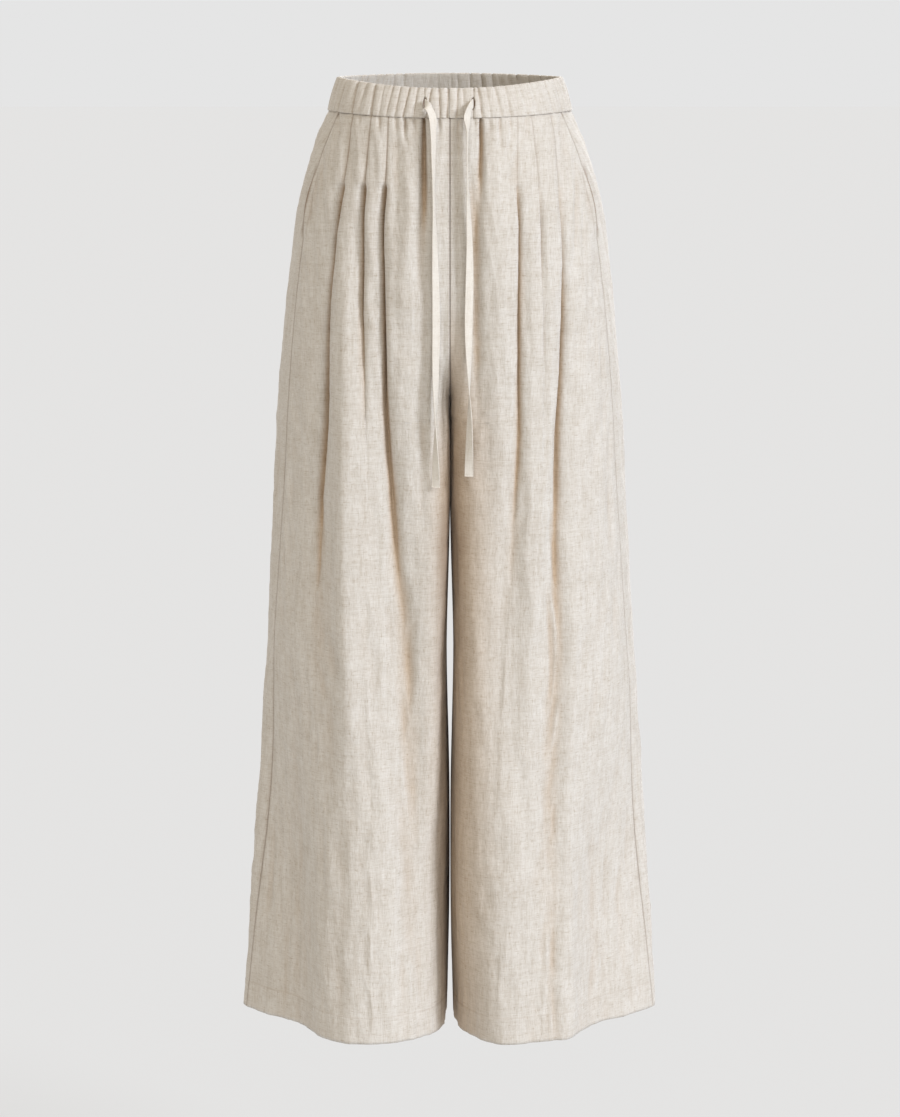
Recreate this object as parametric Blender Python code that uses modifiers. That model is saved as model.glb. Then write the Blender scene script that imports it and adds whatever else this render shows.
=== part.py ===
"""Wide-leg linen trousers with tucked fronts, an elastic waistband and a flat drawstring.

Units are metres and +Z is up. The front faces -Y and the wearer's left is +X. The origin is the
middle of the waistband's height on the wearer's axis, where the waist holds the garment.

Each leg is a family of level half rings. A half ring starts at the front centre seam (at the
inseam below the crotch), passes the side seam and ends at the back centre seam. Tucks and soft
folds then move its points along the ring's outward normal.
"""
import math

import bpy
import numpy as np

NAME = "linen_drawstring_trousers"
SIDES = {"right": -1.0, "left": 1.0}       # the wearer's sides, with the sign of X

# Cloth
CLOTH = 0.0015             # one layer of linen
BAND_WALL = 0.0030         # doubled linen with the elastic between
TAPE_WALL = 0.0014         # folded and stitched drawstring tape
SEAM_GAP = 0.0004          # clearance between neighbouring pieces

# Levels
BAND_TOP = 0.0175
BAND_FOOT = -0.0175
TUCK_RELEASE = -0.095      # the stitching of the tucks ends here
FRONT_FORK = -0.250        # the front centre seam starts to curve under
BACK_FORK = -0.200
CROTCH = -0.335
HEM = -1.017

# The level half rings: half width at the widest point, depth in front of and behind the side,
# the crest's distance from the centre line as a share of the half width, and the roundness of
# the outer and inner quarters (2 is an ellipse, less is a flatter flank, more is boxier).
SECTION_COLUMNS = ("height", "half_width", "front", "back", "crest", "front_round",
                   "back_round", "inner_round")
SECTIONS = (
    (0.0175, 0.1180, 0.088, 0.088, 0.04, 2.00, 2.00, 2.6),
    (-0.0175, 0.1285, 0.102, 0.098, 0.05, 2.00, 2.00, 2.6),
    (-0.0600, 0.1455, 0.110, 0.108, 0.08, 2.00, 2.00, 2.6),
    (-0.1120, 0.1600, 0.117, 0.118, 0.13, 2.00, 2.00, 2.6),
    (-0.1760, 0.1702, 0.122, 0.127, 0.20, 1.94, 2.00, 2.6),
    (-0.2520, 0.1790, 0.123, 0.130, 0.29, 1.86, 1.96, 2.6),
    (-0.3350, 0.1857, 0.122, 0.126, 0.38, 1.77, 1.90, 2.6),
    (-0.4380, 0.1920, 0.119, 0.118, 0.44, 1.67, 1.80, 2.4),
    (-0.6060, 0.2020, 0.117, 0.110, 0.46, 1.57, 1.70, 2.2),
    (-0.7780, 0.2155, 0.119, 0.109, 0.46, 1.52, 1.60, 2.1),
    (-0.8950, 0.2245, 0.122, 0.111, 0.46, 1.46, 1.55, 2.0),
    (-1.0170, 0.2335, 0.125, 0.113, 0.46, 1.40, 1.50, 2.0),
)
SIDE_SEAM_INSET = 0.0115   # the side seam lies this far in front of the widest point

# Half the space between the legs at the inseams
SPACING_COLUMNS = ("height", "spacing")
LEG_SPACING = (
    (-0.335, 0.0003),
    (-0.430, 0.0004),
    (-0.600, 0.0036),
    (-0.760, 0.0006),
    (-0.880, 0.0006),
    (-1.017, 0.0034),
)

# The waistband dips at the front and rises at the back, more at its top than at its seam.
DIP_COLUMNS = ("height", "front_dip", "back_rise")
DIPS = (
    (0.0175, 0.0105, 0.0030),
    (-0.0175, 0.0058, 0.0030),
    (-0.0950, 0.0, 0.0),
)
BAND_PROUD = 0.0010        # the band stands this far outside the panels
GATHERS = 48
GATHER_DEPTH = 0.0022
GATHER_WANDER = 0.22       # uneven spacing, as a share of one gather
GATHER_SHALLOWEST = 0.50   # the shallowest gather, as a share of the depth
GATHER_CROWN = 0.25        # unevenness of the pleats between, as a share of the depth
GATHER_FADE = 0.35         # share of the depth lost towards the band's two edges
GATHER_SEED = 11

# Tucks, three on each front, folded towards the side. Across gives the distance of the folded
# edge from the centre line at each level, drop the height of the step outside it.
TUCK_LEVELS = (-0.0175, -0.095, -0.125, -0.200, -0.335, -0.500, -0.750, -1.017)
TUCK_COLUMNS = ("side", "place", "across", "drop")
TUCKS = (
    ("right", "inner", (0.0655, 0.0685, 0.0675, 0.0657, 0.0620, 0.0540, 0.0440, 0.0440),
     (0.0010, 0.0020, 0.0070, 0.0110, 0.0110, 0.0080, 0.0030, 0.0005)),
    ("right", "middle", (0.0835, 0.0905, 0.0915, 0.0920, 0.0920, 0.0940, 0.1000, 0.1050),
     (0.0010, 0.0020, 0.0080, 0.0070, 0.0020, 0.0010, 0.0010, 0.0005)),
    ("right", "outer", (0.1035, 0.1130, 0.1170, 0.1255, 0.1335, 0.1395, 0.1450, 0.1520),
     (0.0010, 0.0020, 0.0070, 0.0100, 0.0080, 0.0060, 0.0040, 0.0010)),
    ("left", "inner", (0.0680, 0.0715, 0.0725, 0.0735, 0.0725, 0.0620, 0.0490, 0.0480),
     (0.0010, 0.0015, 0.0040, 0.0060, 0.0070, 0.0060, 0.0040, 0.0010)),
    ("left", "middle", (0.0860, 0.0935, 0.0950, 0.0970, 0.0970, 0.0900, 0.0790, 0.0740),
     (0.0010, 0.0015, 0.0050, 0.0070, 0.0060, 0.0030, 0.0010, 0.0005)),
    ("left", "outer", (0.1050, 0.1155, 0.1180, 0.1225, 0.1190, 0.1110, 0.1040, 0.0980),
     (0.0010, 0.0015, 0.0040, 0.0050, 0.0070, 0.0090, 0.0090, 0.0060)),
)
STEP_WIDTHS = (0.0016, 0.0018, 0.0030, 0.0060, 0.0110, 0.0180, 0.0250, 0.0280)
TUCK_SWELL = 0.30          # share of the drop that stands up as a crest inside the edge
CREST_REACH = 0.011
RECESS_REACH = 0.017

# Soft folds: where each starts and ends across and down, its half width and its height.
FOLD_COLUMNS = ("side", "face", "across", "across_end", "top", "end", "half_width", "rise")
FOLDS = (
    ("right", "front", 0.0265, 0.0270, -0.020, -0.210, 0.0090, -0.0050),
    ("right", "front", 0.0420, 0.0440, -0.020, -0.300, 0.0130, 0.0025),
    ("right", "front", 0.0550, 0.0540, -0.020, -0.150, 0.0060, -0.0018),
    ("right", "front", 0.1220, 0.1040, -0.250, -0.430, 0.0120, 0.0030),
    ("right", "front", 0.0800, 0.0780, -0.340, -1.200, 0.0240, 0.0040),
    ("right", "front", 0.1500, 0.1480, -0.500, -0.980, 0.0160, 0.0035),
    ("right", "front", 0.1850, 0.1740, -0.620, -1.400, 0.0420, -0.0260),
    ("left", "front", 0.0285, 0.0310, -0.020, -0.360, 0.0100, -0.0055),
    ("left", "front", 0.0440, 0.0480, -0.020, -0.420, 0.0130, 0.0020),
    ("left", "front", 0.1260, 0.1480, -0.150, -0.330, 0.0080, -0.0025),
    ("left", "front", 0.0800, 0.0720, -0.450, -1.050, 0.0200, 0.0045),
    ("left", "front", 0.1240, 0.1240, -0.480, -1.300, 0.0220, 0.0050),
    ("left", "front", 0.1850, 0.1760, -0.620, -1.400, 0.0420, -0.0250),
    ("right", "back", 0.0220, 0.0240, -0.020, -0.230, 0.0110, -0.0035),
    ("right", "back", 0.0540, 0.0600, -0.020, -0.290, 0.0120, -0.0040),
    ("right", "back", 0.0900, 0.1010, -0.020, -0.250, 0.0120, -0.0035),
    ("right", "back", 0.0560, 0.0640, -0.360, -1.300, 0.0260, -0.0075),
    ("right", "back", 0.1080, 0.1120, -0.310, -1.300, 0.0240, 0.0055),
    ("right", "back", 0.1500, 0.1560, -0.460, -1.300, 0.0260, -0.0080),
    ("left", "back", 0.0240, 0.0270, -0.020, -0.260, 0.0110, -0.0035),
    ("left", "back", 0.0590, 0.0640, -0.020, -0.240, 0.0120, -0.0038),
    ("left", "back", 0.0930, 0.1020, -0.020, -0.290, 0.0120, -0.0036),
    ("left", "back", 0.0620, 0.0580, -0.330, -1.300, 0.0250, -0.0070),
    ("left", "back", 0.1000, 0.1060, -0.380, -1.300, 0.0240, 0.0060),
    ("left", "back", 0.1450, 0.1530, -0.420, -1.300, 0.0270, -0.0080),
)
FOLD_FADE = 0.35           # share of a fold's length over which each end dies away
SEAM_CALM = 0.014          # folds fade out over this distance from the centre seams
SIDE_CALM = 0.030          # and over this distance from the widest point of the side

# Pocket mouths in the side seams, each with a facing strip behind it
MOUTH_TOP = -0.060
MOUTH_END = -0.150
MOUTH_GAPE = 0.0022
MOUTH_REACH = 0.012        # the front lifts over this distance from the seam
FACING_TOP = -0.036
FACING_END = -0.175
FACING_CLEAR = 0.0007      # space between the walls and the strip
FACING_COLUMNS = (3, 3)    # columns of the front and of the back that it lies under

# Drawstring tapes: they leave upright slits in the band and hang in front of the cloth.
TAPE_WIDTH = 0.0092
TAPE_STANDOFF = 0.0068
SLIT_HEIGHT = 0.0112
SLIT_WIDTH = 0.0026
SLIT_LEVEL = -0.0085
SLIT_OFFSET = 0.0030       # the slit lies this far outside the tape's first point
SLIT_CUT = 0.0300          # length of the cut through the band, front to back
TAPE_COLUMNS = ("height", "across", "turn")
TAPES = {
    "right": (
        (-0.0120, -0.0225, 70), (-0.0200, -0.0185, 40), (-0.0350, -0.0172, 42),
        (-0.0600, -0.0170, 58), (-0.0900, -0.0168, 74), (-0.1200, -0.0162, 92),
        (-0.1500, -0.0156, 122), (-0.1900, -0.0148, 138), (-0.2350, -0.0142, 150),
        (-0.2750, -0.0148, 136), (-0.3100, -0.0150, 92), (-0.3450, -0.0150, 42),
        (-0.3800, -0.0149, 14), (-0.4035, -0.0148, 4),
    ),
    "left": (
        (-0.0120, 0.0205, -72), (-0.0200, 0.0178, -48), (-0.0350, 0.0180, -74),
        (-0.0600, 0.0176, -90), (-0.0900, 0.0180, -88), (-0.1200, 0.0190, -66),
        (-0.1500, 0.0200, -46), (-0.1900, 0.0200, -20), (-0.2350, 0.0192, -28),
        (-0.2700, 0.0194, -60), (-0.2950, 0.0200, -92), (-0.3250, 0.0204, -130),
        (-0.3600, 0.0202, -160), (-0.3918, 0.0197, -176),
    ),
}
TAPE_ROOTS = (0.0012, -0.0026)         # the tape's first two points, in depth from the band
TAPE_ROOT_TURN = 90.0
TAPE_LEANS = (1.0, 1.0, 0.55, 0.20)    # how far it stands on edge at its first points
TAPE_STRIPS = 56
TAPE_FALL = -0.200         # below this level the tapes hang straight down

# Mesh density
RING_SAMPLES = 60          # points along a quarter when a ring is measured
UPPER_ROWS = (-0.036, -0.056, -0.076, -0.088, TUCK_RELEASE, -0.103, -0.114, -0.130, -0.150,
              -0.175, -0.200, -0.225, FRONT_FORK)
FORK_ROWS = 7
LEG_ROWS = 14
LEG_ROW_GROWTH = 1.25      # rows are closer together below the crotch than at the hem
LEVEL_SLACK = 1e-6
SEAM_STRIP = 0.003                     # the first strip beside a seam
FRONT_STRIPS = (1, 7, 1, 3, 1, 3, 1, 4, 1)   # seam, centre, each tuck's step and beside it, seam
BACK_STRIPS = (1, 3, 6, 6, 1)          # seam, side to widest point, to the crest, centre, seam
WIDEST_STEP_STRIP = 0.012              # a soft step's strip of cells is no wider than this
STRIPS_PER_GATHER = 3
BAND_STRIPS = 3

COLOURS = {                # base colour, roughness
    "linen": ((0.66, 0.60, 0.52, 1.0), 0.88),
    "band": ((0.64, 0.58, 0.50, 1.0), 0.88),
    "facing": ((0.55, 0.48, 0.40, 1.0), 0.90),
    "tape": ((0.72, 0.67, 0.60, 1.0), 0.85),
}


def hermite(value, places, levels):
    """A smooth curve through (places, levels), places rising, flat beyond the ends."""
    places = np.asarray(places, float)
    levels = np.asarray(levels, float)
    slopes = np.gradient(levels, places)
    value = np.clip(value, places[0], places[-1])
    start = np.clip(np.searchsorted(places, value) - 1, 0, len(places) - 2)
    span = places[start + 1] - places[start]
    t = (value - places[start]) / span
    ease = t * t * (3.0 - 2.0 * t)
    into = t * (1.0 - t) ** 2 * span * slopes[start]
    out = t * t * (t - 1.0) * span * slopes[start + 1]
    return levels[start] * (1.0 - ease) + levels[start + 1] * ease + into + out


def down_table(height, heights, levels):
    """Reads a table whose heights run downwards."""
    return hermite(-np.asarray(height, float), -np.asarray(heights, float), levels)


def section(height):
    heights = [row[0] for row in SECTIONS]
    values = {}
    for column, name in enumerate(SECTION_COLUMNS[1:], 1):
        values[name] = float(down_table(height, heights, [row[column] for row in SECTIONS]))
    return values


def leg_spacing(height):
    heights, spacings = zip(*LEG_SPACING)
    return float(down_table(height, heights, spacings))


def smoothstep(value):
    value = np.clip(value, 0.0, 1.0)
    return value * value * (3.0 - 2.0 * value)


def fork_share(height, fork):
    """0 where the legs are one body, 1 from the crotch down."""
    return min(max((fork - height) / (fork - CROTCH), 0.0), 1.0)


def quarter(height, fork, depth, outer_round):
    """Points from the centre seam or inseam to the widest point, depth counted as positive."""
    values = section(height)
    half_width = values["half_width"]
    crest = values["crest"] * half_width
    seam_depth = math.sqrt(1.0 - fork_share(height, fork) ** 2)
    widest_turn = math.acos(seam_depth ** (values["inner_round"] / 2.0))
    inner_power = 2.0 / values["inner_round"]
    turns = np.linspace(1.0, 0.0, RING_SAMPLES)[:-1]
    if widest_turn > 0.0:
        sines = np.sin(turns * widest_turn) ** inner_power
        across = crest * (1.0 - sines / sines[0])
        ahead = depth * np.cos(turns * widest_turn) ** inner_power
    else:
        across = crest * (1.0 - turns)
        ahead = np.full(len(turns), depth)
    outer = np.linspace(0.0, math.pi / 2, RING_SAMPLES)
    outer_power = 2.0 / outer_round
    across = np.append(across, crest + (half_width - crest) * np.sin(outer) ** outer_power)
    ahead = np.append(ahead, depth * np.maximum(np.cos(outer), 0.0) ** outer_power)
    spacing = max(leg_spacing(height), SEAM_GAP / 2) if height < CROTCH else SEAM_GAP / 2
    return np.column_stack((spacing + across * (1.0 - spacing / half_width), ahead))


def half_ring(height):
    """The whole half ring from the front seam round to the back seam, and its widest index."""
    values = section(height)
    front = quarter(height, FRONT_FORK, values["front"], values["front_round"])
    back = quarter(height, BACK_FORK, values["back"], values["back_round"])
    front[:, 1] *= -1.0
    ring = np.vstack((front, back[::-1][1:]))
    return ring, len(front) - 1


def ring_measure(height):
    """The ring, its running length, its outward normals and its widest index."""
    ring, widest = half_ring(height)
    steps = np.hypot(*np.diff(ring, axis=0).T)
    length = np.concatenate(([0.0], np.cumsum(steps)))
    tangent = np.gradient(ring, length, axis=0)
    tangent /= np.hypot(*tangent.T)[:, None]
    normal = np.column_stack((tangent[:, 1], -tangent[:, 0]))
    return ring, length, normal, widest


def at_length(place, length, values):
    return np.column_stack([np.interp(place, length, values[:, k]) for k in range(2)])


def front_place(across, ring, length, widest):
    """The running length at which the front is this far from the centre line."""
    return float(np.interp(across, ring[:widest + 1, 0], length[:widest + 1]))


def side_seam_place(ring, length, widest):
    return front_place(ring[widest, 0] - SIDE_SEAM_INSET, ring, length, widest)


def side_tucks(side):
    return [row for row in TUCKS if row[0] == side]


def tuck_relief(side, height, across):
    """Height of the tucks' steps over the plain front."""
    relief = np.zeros_like(across)
    step = float(down_table(height, TUCK_LEVELS, STEP_WIDTHS))
    for _, _, edges, drops in side_tucks(side):
        edge = float(down_table(height, TUCK_LEVELS, edges))
        drop = float(down_table(height, TUCK_LEVELS, drops))
        out = across - edge
        crest = TUCK_SWELL * drop * np.exp(np.minimum(out, 0.0) / CREST_REACH)
        recess = (TUCK_SWELL - 1.0) * drop * np.exp(-np.maximum(out - step, 0.0) / RECESS_REACH)
        fall = smoothstep(out / step)
        relief += crest * (1.0 - fall) + recess * fall
    return relief


def fold_relief(side, face, height, across):
    """Height of the soft folds over the plain cloth."""
    relief = np.zeros_like(across)
    for row in FOLDS:
        fold = dict(zip(FOLD_COLUMNS, row))
        if (fold["side"], fold["face"]) != (side, face):
            continue
        down = (fold["top"] - height) / (fold["top"] - fold["end"])
        fade = smoothstep(down / FOLD_FADE) * smoothstep((1.0 - down) / FOLD_FADE)
        centre = fold["across"] + (fold["across_end"] - fold["across"]) * min(max(down, 0.0), 1.0)
        off = (across - centre) / fold["half_width"]
        relief += fold["rise"] * fade * np.exp(-off * off)
    return relief


def relief_at(side, height, places, across, length, widest):
    """All folds over the plain half ring. They are still at its widest point and its ends."""
    ahead = places < length[widest]
    front = fold_relief(side, "front", height, across) + tuck_relief(side, height, across)
    back = fold_relief(side, "back", height, across)
    from_centre = np.minimum(places, length[-1] - places)
    from_widest = np.abs(places - length[widest])
    calm = smoothstep(from_centre / SEAM_CALM) * smoothstep(from_widest / SIDE_CALM)
    return np.where(ahead, front, back) * calm


def mouth_relief(height, from_seam):
    """The front stands away from the back along the pocket mouth."""
    middle = (MOUTH_TOP + MOUTH_END) / 2
    along = (height - middle) / ((MOUTH_TOP - MOUTH_END) / 2)
    swell = max(0.0, 1.0 - along * along)
    return MOUTH_GAPE * swell * (1.0 - smoothstep(from_seam / MOUTH_REACH))


def waist_dip(height, depth_share):
    """Vertical shift near the waist: depth_share is -1 at the front, 0 at the side, 1 behind."""
    heights = [row[0] for row in DIPS]
    front_dip = float(down_table(height, heights, [row[1] for row in DIPS]))
    back_rise = float(down_table(height, heights, [row[2] for row in DIPS]))
    ahead = np.maximum(-depth_share, 0.0) ** 2
    behind = np.maximum(depth_share, 0.0) ** 2
    return back_rise * behind - front_dip * ahead


def polyline_normals(points, closed=False):
    """Outward normals in the level plane for points that run from the front to the back."""
    if closed:
        run = np.roll(points, -1, axis=0) - np.roll(points, 1, axis=0)
    else:
        run = np.vstack((points[1:2] - points[:1], points[2:] - points[:-2],
                         points[-1:] - points[-2:-1]))
    run /= np.hypot(*run.T)[:, None]
    return np.column_stack((run[:, 1], -run[:, 0]))


def wall_level(side, points, normal, wall, height):
    """One level of a wall: the outer points and the inner points, lifted by the waist's dip."""
    depth = np.where(points[:, 1] < 0, section(height)["front"], section(height)["back"])
    level = height + waist_dip(height, points[:, 1] / depth)
    inner = points - normal * wall
    inner[:, 0] = np.maximum(inner[:, 0], min(points[:, 0].min(), SEAM_GAP / 2))
    return tuple([(SIDES[side] * x, y, z) for (x, y), z in zip(surface, level)]
                 for surface in (points, inner))


def cloth_level(side, height, places, inset=0.0, gapes=False):
    """One level of a piece of cloth, at the given running lengths round the half ring."""
    ring, length, normal, widest = ring_measure(height)
    flat = at_length(places, length, ring)
    out = at_length(places, length, normal)
    relief = relief_at(side, height, places, flat[:, 0], length, widest) - inset
    if gapes:
        relief = relief + mouth_relief(height, side_seam_place(ring, length, widest) - places)
    points = flat + out * relief[:, None]
    points[:, 0] = np.maximum(points[:, 0], ring[:, 0].min())
    facing = polyline_normals(points)
    facing[0] = out[0]
    facing[-1] = out[-1]
    return wall_level(side, points, facing, CLOTH, height)


def panel_levels():
    turns = [math.sin(math.pi / 2 * k / FORK_ROWS) for k in range(1, FORK_ROWS + 1)]
    fork = [FRONT_FORK + (CROTCH - FRONT_FORK) * turn for turn in turns]
    shares = [(k / LEG_ROWS) ** LEG_ROW_GROWTH for k in range(1, LEG_ROWS + 1)]
    legs = [CROTCH + (HEM - CROTCH) * share for share in shares]
    return [BAND_FOOT - SEAM_GAP] + list(UPPER_ROWS) + fork + legs


def spread(stops, strips):
    """Even places between the stops, with the given number of strips in each stretch."""
    places = [stops[0]]
    for start, end, count in zip(stops, stops[1:], strips):
        places += [start + (end - start) * k / count for k in range(1, count + 1)]
    return np.array(places)


def seam_start(height):
    """Half the seam's clearance: along the ring from the crotch down, kept in X above it."""
    return SEAM_GAP / 2 if height < CROTCH + LEVEL_SLACK else 0.0


def front_places(side, height):
    ring, length, _, widest = ring_measure(height)
    step = min(float(down_table(height, TUCK_LEVELS, STEP_WIDTHS)), WIDEST_STEP_STRIP)
    start = seam_start(height)
    stops = [start, start + SEAM_STRIP]
    for _, _, edges, _ in side_tucks(side):
        edge = float(down_table(height, TUCK_LEVELS, edges))
        stops += [front_place(edge, ring, length, widest),
                  front_place(edge + step, ring, length, widest)]
    end = side_seam_place(ring, length, widest) - SEAM_GAP / 2
    stops += [end - SEAM_STRIP, end]
    return spread(stops, FRONT_STRIPS)


def back_places(height):
    ring, length, _, widest = ring_measure(height)
    start = side_seam_place(ring, length, widest) + SEAM_GAP / 2
    end = length[-1] - seam_start(height)
    crest = section(height)["crest"] * ring[widest, 0]
    crest_place = np.interp(-crest, -ring[widest:, 0], length[widest:])
    stops = [start, start + SEAM_STRIP, length[widest], crest_place, end - SEAM_STRIP, end]
    return spread(stops, BACK_STRIPS)


def make_material(name):
    colour, roughness = COLOURS[name]
    material = bpy.data.materials.new(name)
    material.use_nodes = True
    shader = material.node_tree.nodes["Principled BSDF"]
    shader.inputs["Base Color"].default_value = colour
    shader.inputs["Roughness"].default_value = roughness
    shader.inputs["Metallic"].default_value = 0.0
    material.diffuse_color = colour
    return material


def link_mesh(name, points, faces, material, collection):
    mesh = bpy.data.meshes.new(name)
    mesh.from_pydata(points, [], faces)
    mesh.materials.append(material)
    mesh.shade_smooth()
    mesh.update()
    made = bpy.data.objects.new(name, mesh)
    collection.objects.link(made)
    return made


def wall_object(name, levels, material, collection, flip=False, ring=False):
    """A wall lofted through levels of (outer points, inner points), closed along its edges.

    Its seam edges stay level and square, which an offset along the surface would not keep, and
    both surfaces split their cells along the same diagonal, so the wall is never pinched.
    """
    width = len(levels[0][0])
    height = len(levels)
    points = [point for surface in (0, 1) for level in levels for point in level[surface]]

    def corner(surface, row, column):
        return (surface * height + row) * width + column % width

    faces = []
    for row in range(height - 1):
        for column in range(width if ring else width - 1):
            upper, lower = (row, column), (row + 1, column)
            over, under = (row, column + 1), (row + 1, column + 1)
            for half in ((upper, lower, under), (upper, under, over)):
                faces.append([corner(0, *place) for place in half])
                faces.append([corner(1, *place) for place in reversed(half)])
    for row, turned in ((0, True), (height - 1, False)):
        for column in range(width if ring else width - 1):
            face = [corner(0, row, column), corner(1, row, column),
                    corner(1, row, column + 1), corner(0, row, column + 1)]
            faces.append(face[::-1] if turned else face)
    if not ring:
        for column, turned in ((0, False), (width - 1, True)):
            for row in range(height - 1):
                face = [corner(0, row, column), corner(1, row, column),
                        corner(1, row + 1, column), corner(0, row + 1, column)]
                faces.append(face[::-1] if turned else face)
    if flip:
        faces = [face[::-1] for face in faces]
    return link_mesh(name, points, faces, material, collection)


def make_panels(collection, material):
    for side in SIDES:
        front = [cloth_level(side, z, front_places(side, z), gapes=True) for z in panel_levels()]
        back = [cloth_level(side, z, back_places(z)) for z in panel_levels()]
        for face, levels in (("front", front), ("back", back)):
            wall_object(f"{side}_{face}", levels, material, collection, flip=side == "right")


def make_facings(collection, material):
    """A strip of cloth behind each pocket mouth, made from the walls' points moved inwards."""
    ahead, behind = FACING_COLUMNS
    heights = [z for z in panel_levels() if FACING_END <= z <= FACING_TOP]
    for side in SIDES:
        levels = []
        for height in heights:
            places = np.concatenate((front_places(side, height)[-ahead:],
                                     back_places(height)[:behind]))
            levels.append(cloth_level(side, height, places, inset=CLOTH + FACING_CLEAR))
        wall_object(f"{side}_pocket_facing", levels, material, collection, flip=side == "right")


def gather_profile(count):
    """Running shares round the band with a relief for each: narrow valleys, broad pleats."""
    chance = np.random.default_rng(GATHER_SEED)
    shares = []
    reliefs = []
    for k in range(count):
        wander = GATHER_WANDER * chance.uniform(-1.0, 1.0)
        shares.append((k + wander) / count)
        reliefs.append(-GATHER_DEPTH * chance.uniform(GATHER_SHALLOWEST, 1.0))
        for part in range(1, STRIPS_PER_GATHER):
            nearer = wander * (1.0 - part / STRIPS_PER_GATHER)
            shares.append((k + nearer + part / STRIPS_PER_GATHER) / count)
            reliefs.append(GATHER_CROWN * GATHER_DEPTH * chance.uniform(-1.0, 1.0))
    return np.array(shares), np.array(reliefs)


def band_ring(height):
    """The full ring round the waist, from the front centre over the left side."""
    ring, _ = half_ring(height)
    ring[:, 0] -= ring[:, 0].min()
    whole = np.vstack((ring, ring[::-1][1:-1] * (-1.0, 1.0), ring[:1]))
    steps = np.hypot(*np.diff(whole, axis=0).T)
    return whole, np.concatenate(([0.0], np.cumsum(steps)))


def band_level(height, shares, reliefs):
    whole, length = band_ring(height)
    flat = at_length((shares % 1.0) * length[-1], length, whole)
    points = flat + polyline_normals(flat, closed=True) * (BAND_PROUD + reliefs)[:, None]
    normal = polyline_normals(points, closed=True)
    depth = np.where(points[:, 1] < 0, section(height)["front"], section(height)["back"])
    level = height + waist_dip(height, points[:, 1] / depth)
    return tuple([(x, y, z) for (x, y), z in zip(surface, level)]
                 for surface in (points, points - normal * BAND_WALL))


def make_band(collection, material):
    shares, reliefs = gather_profile(GATHERS)
    levels = []
    for strip in range(BAND_STRIPS + 1):
        share = strip / BAND_STRIPS
        height = BAND_TOP + (BAND_FOOT - BAND_TOP) * share
        kept = 1.0 - GATHER_FADE * abs(2.0 * share - 1.0)
        levels.append(band_level(height, shares, reliefs * kept))
    return wall_object("waistband", levels, material, collection, ring=True)


def slit_place(side):
    """Where the middle of a tape's slit is, on the plain front of the band."""
    across = TAPES[side][0][1] + SIDES[side] * SLIT_OFFSET
    return across, -section(SLIT_LEVEL)["front"], SLIT_LEVEL


def tape_centre(height, across):
    front = section(max(height, TAPE_FALL))["front"]
    return across, -front - TAPE_STANDOFF, height


def tape_route(side):
    """The tape's centre line from inside its slit to its free end, its turn and its lean."""
    across, depth, level = slit_place(side)
    points = [(across, depth + root, level) for root in TAPE_ROOTS]
    points += [tape_centre(height, place) for height, place, _ in TAPES[side]]
    turns = [-SIDES[side] * TAPE_ROOT_TURN] * len(TAPE_ROOTS) + [row[2] for row in TAPES[side]]
    leans = list(TAPE_LEANS) + [0.0] * (len(points) - len(TAPE_LEANS))
    spans = [math.dist(start, end) for start, end in zip(points, points[1:])]
    places = np.concatenate(([0.0], np.cumsum(spans)))
    steps = np.linspace(0.0, places[-1], TAPE_STRIPS + 1)
    route = np.column_stack([hermite(steps, places, axis) for axis in zip(*points)])
    return route, np.radians(hermite(steps, places, turns)), hermite(steps, places, leans)


def make_tapes(collection, material):
    for side in TAPES:
        points = []
        for point, angle, lean in zip(*tape_route(side)):
            level = np.array((math.cos(angle), math.sin(angle), 0.0))
            across = level * (1.0 - lean) + np.array((0.0, 0.0, 1.0)) * lean
            across /= np.linalg.norm(across)
            points += [point - across * TAPE_WIDTH / 2, point + across * TAPE_WIDTH / 2]
        faces = [(2 * k, 2 * k + 2, 2 * k + 3, 2 * k + 1) for k in range(TAPE_STRIPS)]
        tape = link_mesh(f"{side}_drawstring", points, faces, material, collection)
        wall = tape.modifiers.new("Wall", "SOLIDIFY")
        wall.thickness = TAPE_WALL
        wall.offset = 0.0


def cut_slits(band, cutters):
    """An upright slit through the band's front for each tape."""
    for side in TAPES:
        bpy.ops.mesh.primitive_cube_add(size=1.0, location=slit_place(side))
        cutter = bpy.context.object
        cutter.name = f"{side}_slit_cutter"
        cutter.scale = (SLIT_WIDTH, SLIT_CUT, SLIT_HEIGHT)
        bpy.ops.object.transform_apply(location=False, rotation=False, scale=True)
        cutter.hide_render = True
        cutter.display_type = "WIRE"
        for owner in list(cutter.users_collection):
            owner.objects.unlink(cutter)
        cutters.objects.link(cutter)
        slit = band.modifiers.new(f"{side}_slit", "BOOLEAN")
        slit.operation = "DIFFERENCE"
        slit.object = cutter


def new_collection(name):
    collection = bpy.data.collections.new(name)
    bpy.context.scene.collection.children.link(collection)
    return collection


def main():
    for item in list(bpy.data.objects):
        bpy.data.objects.remove(item, do_unlink=True)
    garment = new_collection(NAME)
    cutters = new_collection(f"{NAME}_cutters")
    materials = {name: make_material(name) for name in COLOURS}
    make_panels(garment, materials["linen"])
    make_facings(garment, materials["facing"])
    band = make_band(garment, materials["band"])
    cut_slits(band, cutters)
    make_tapes(garment, materials["tape"])


main()
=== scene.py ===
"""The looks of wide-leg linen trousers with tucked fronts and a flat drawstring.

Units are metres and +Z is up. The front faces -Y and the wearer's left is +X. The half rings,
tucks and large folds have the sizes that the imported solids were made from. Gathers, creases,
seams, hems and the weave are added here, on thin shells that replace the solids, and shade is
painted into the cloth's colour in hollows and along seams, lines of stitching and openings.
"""
import math

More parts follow.
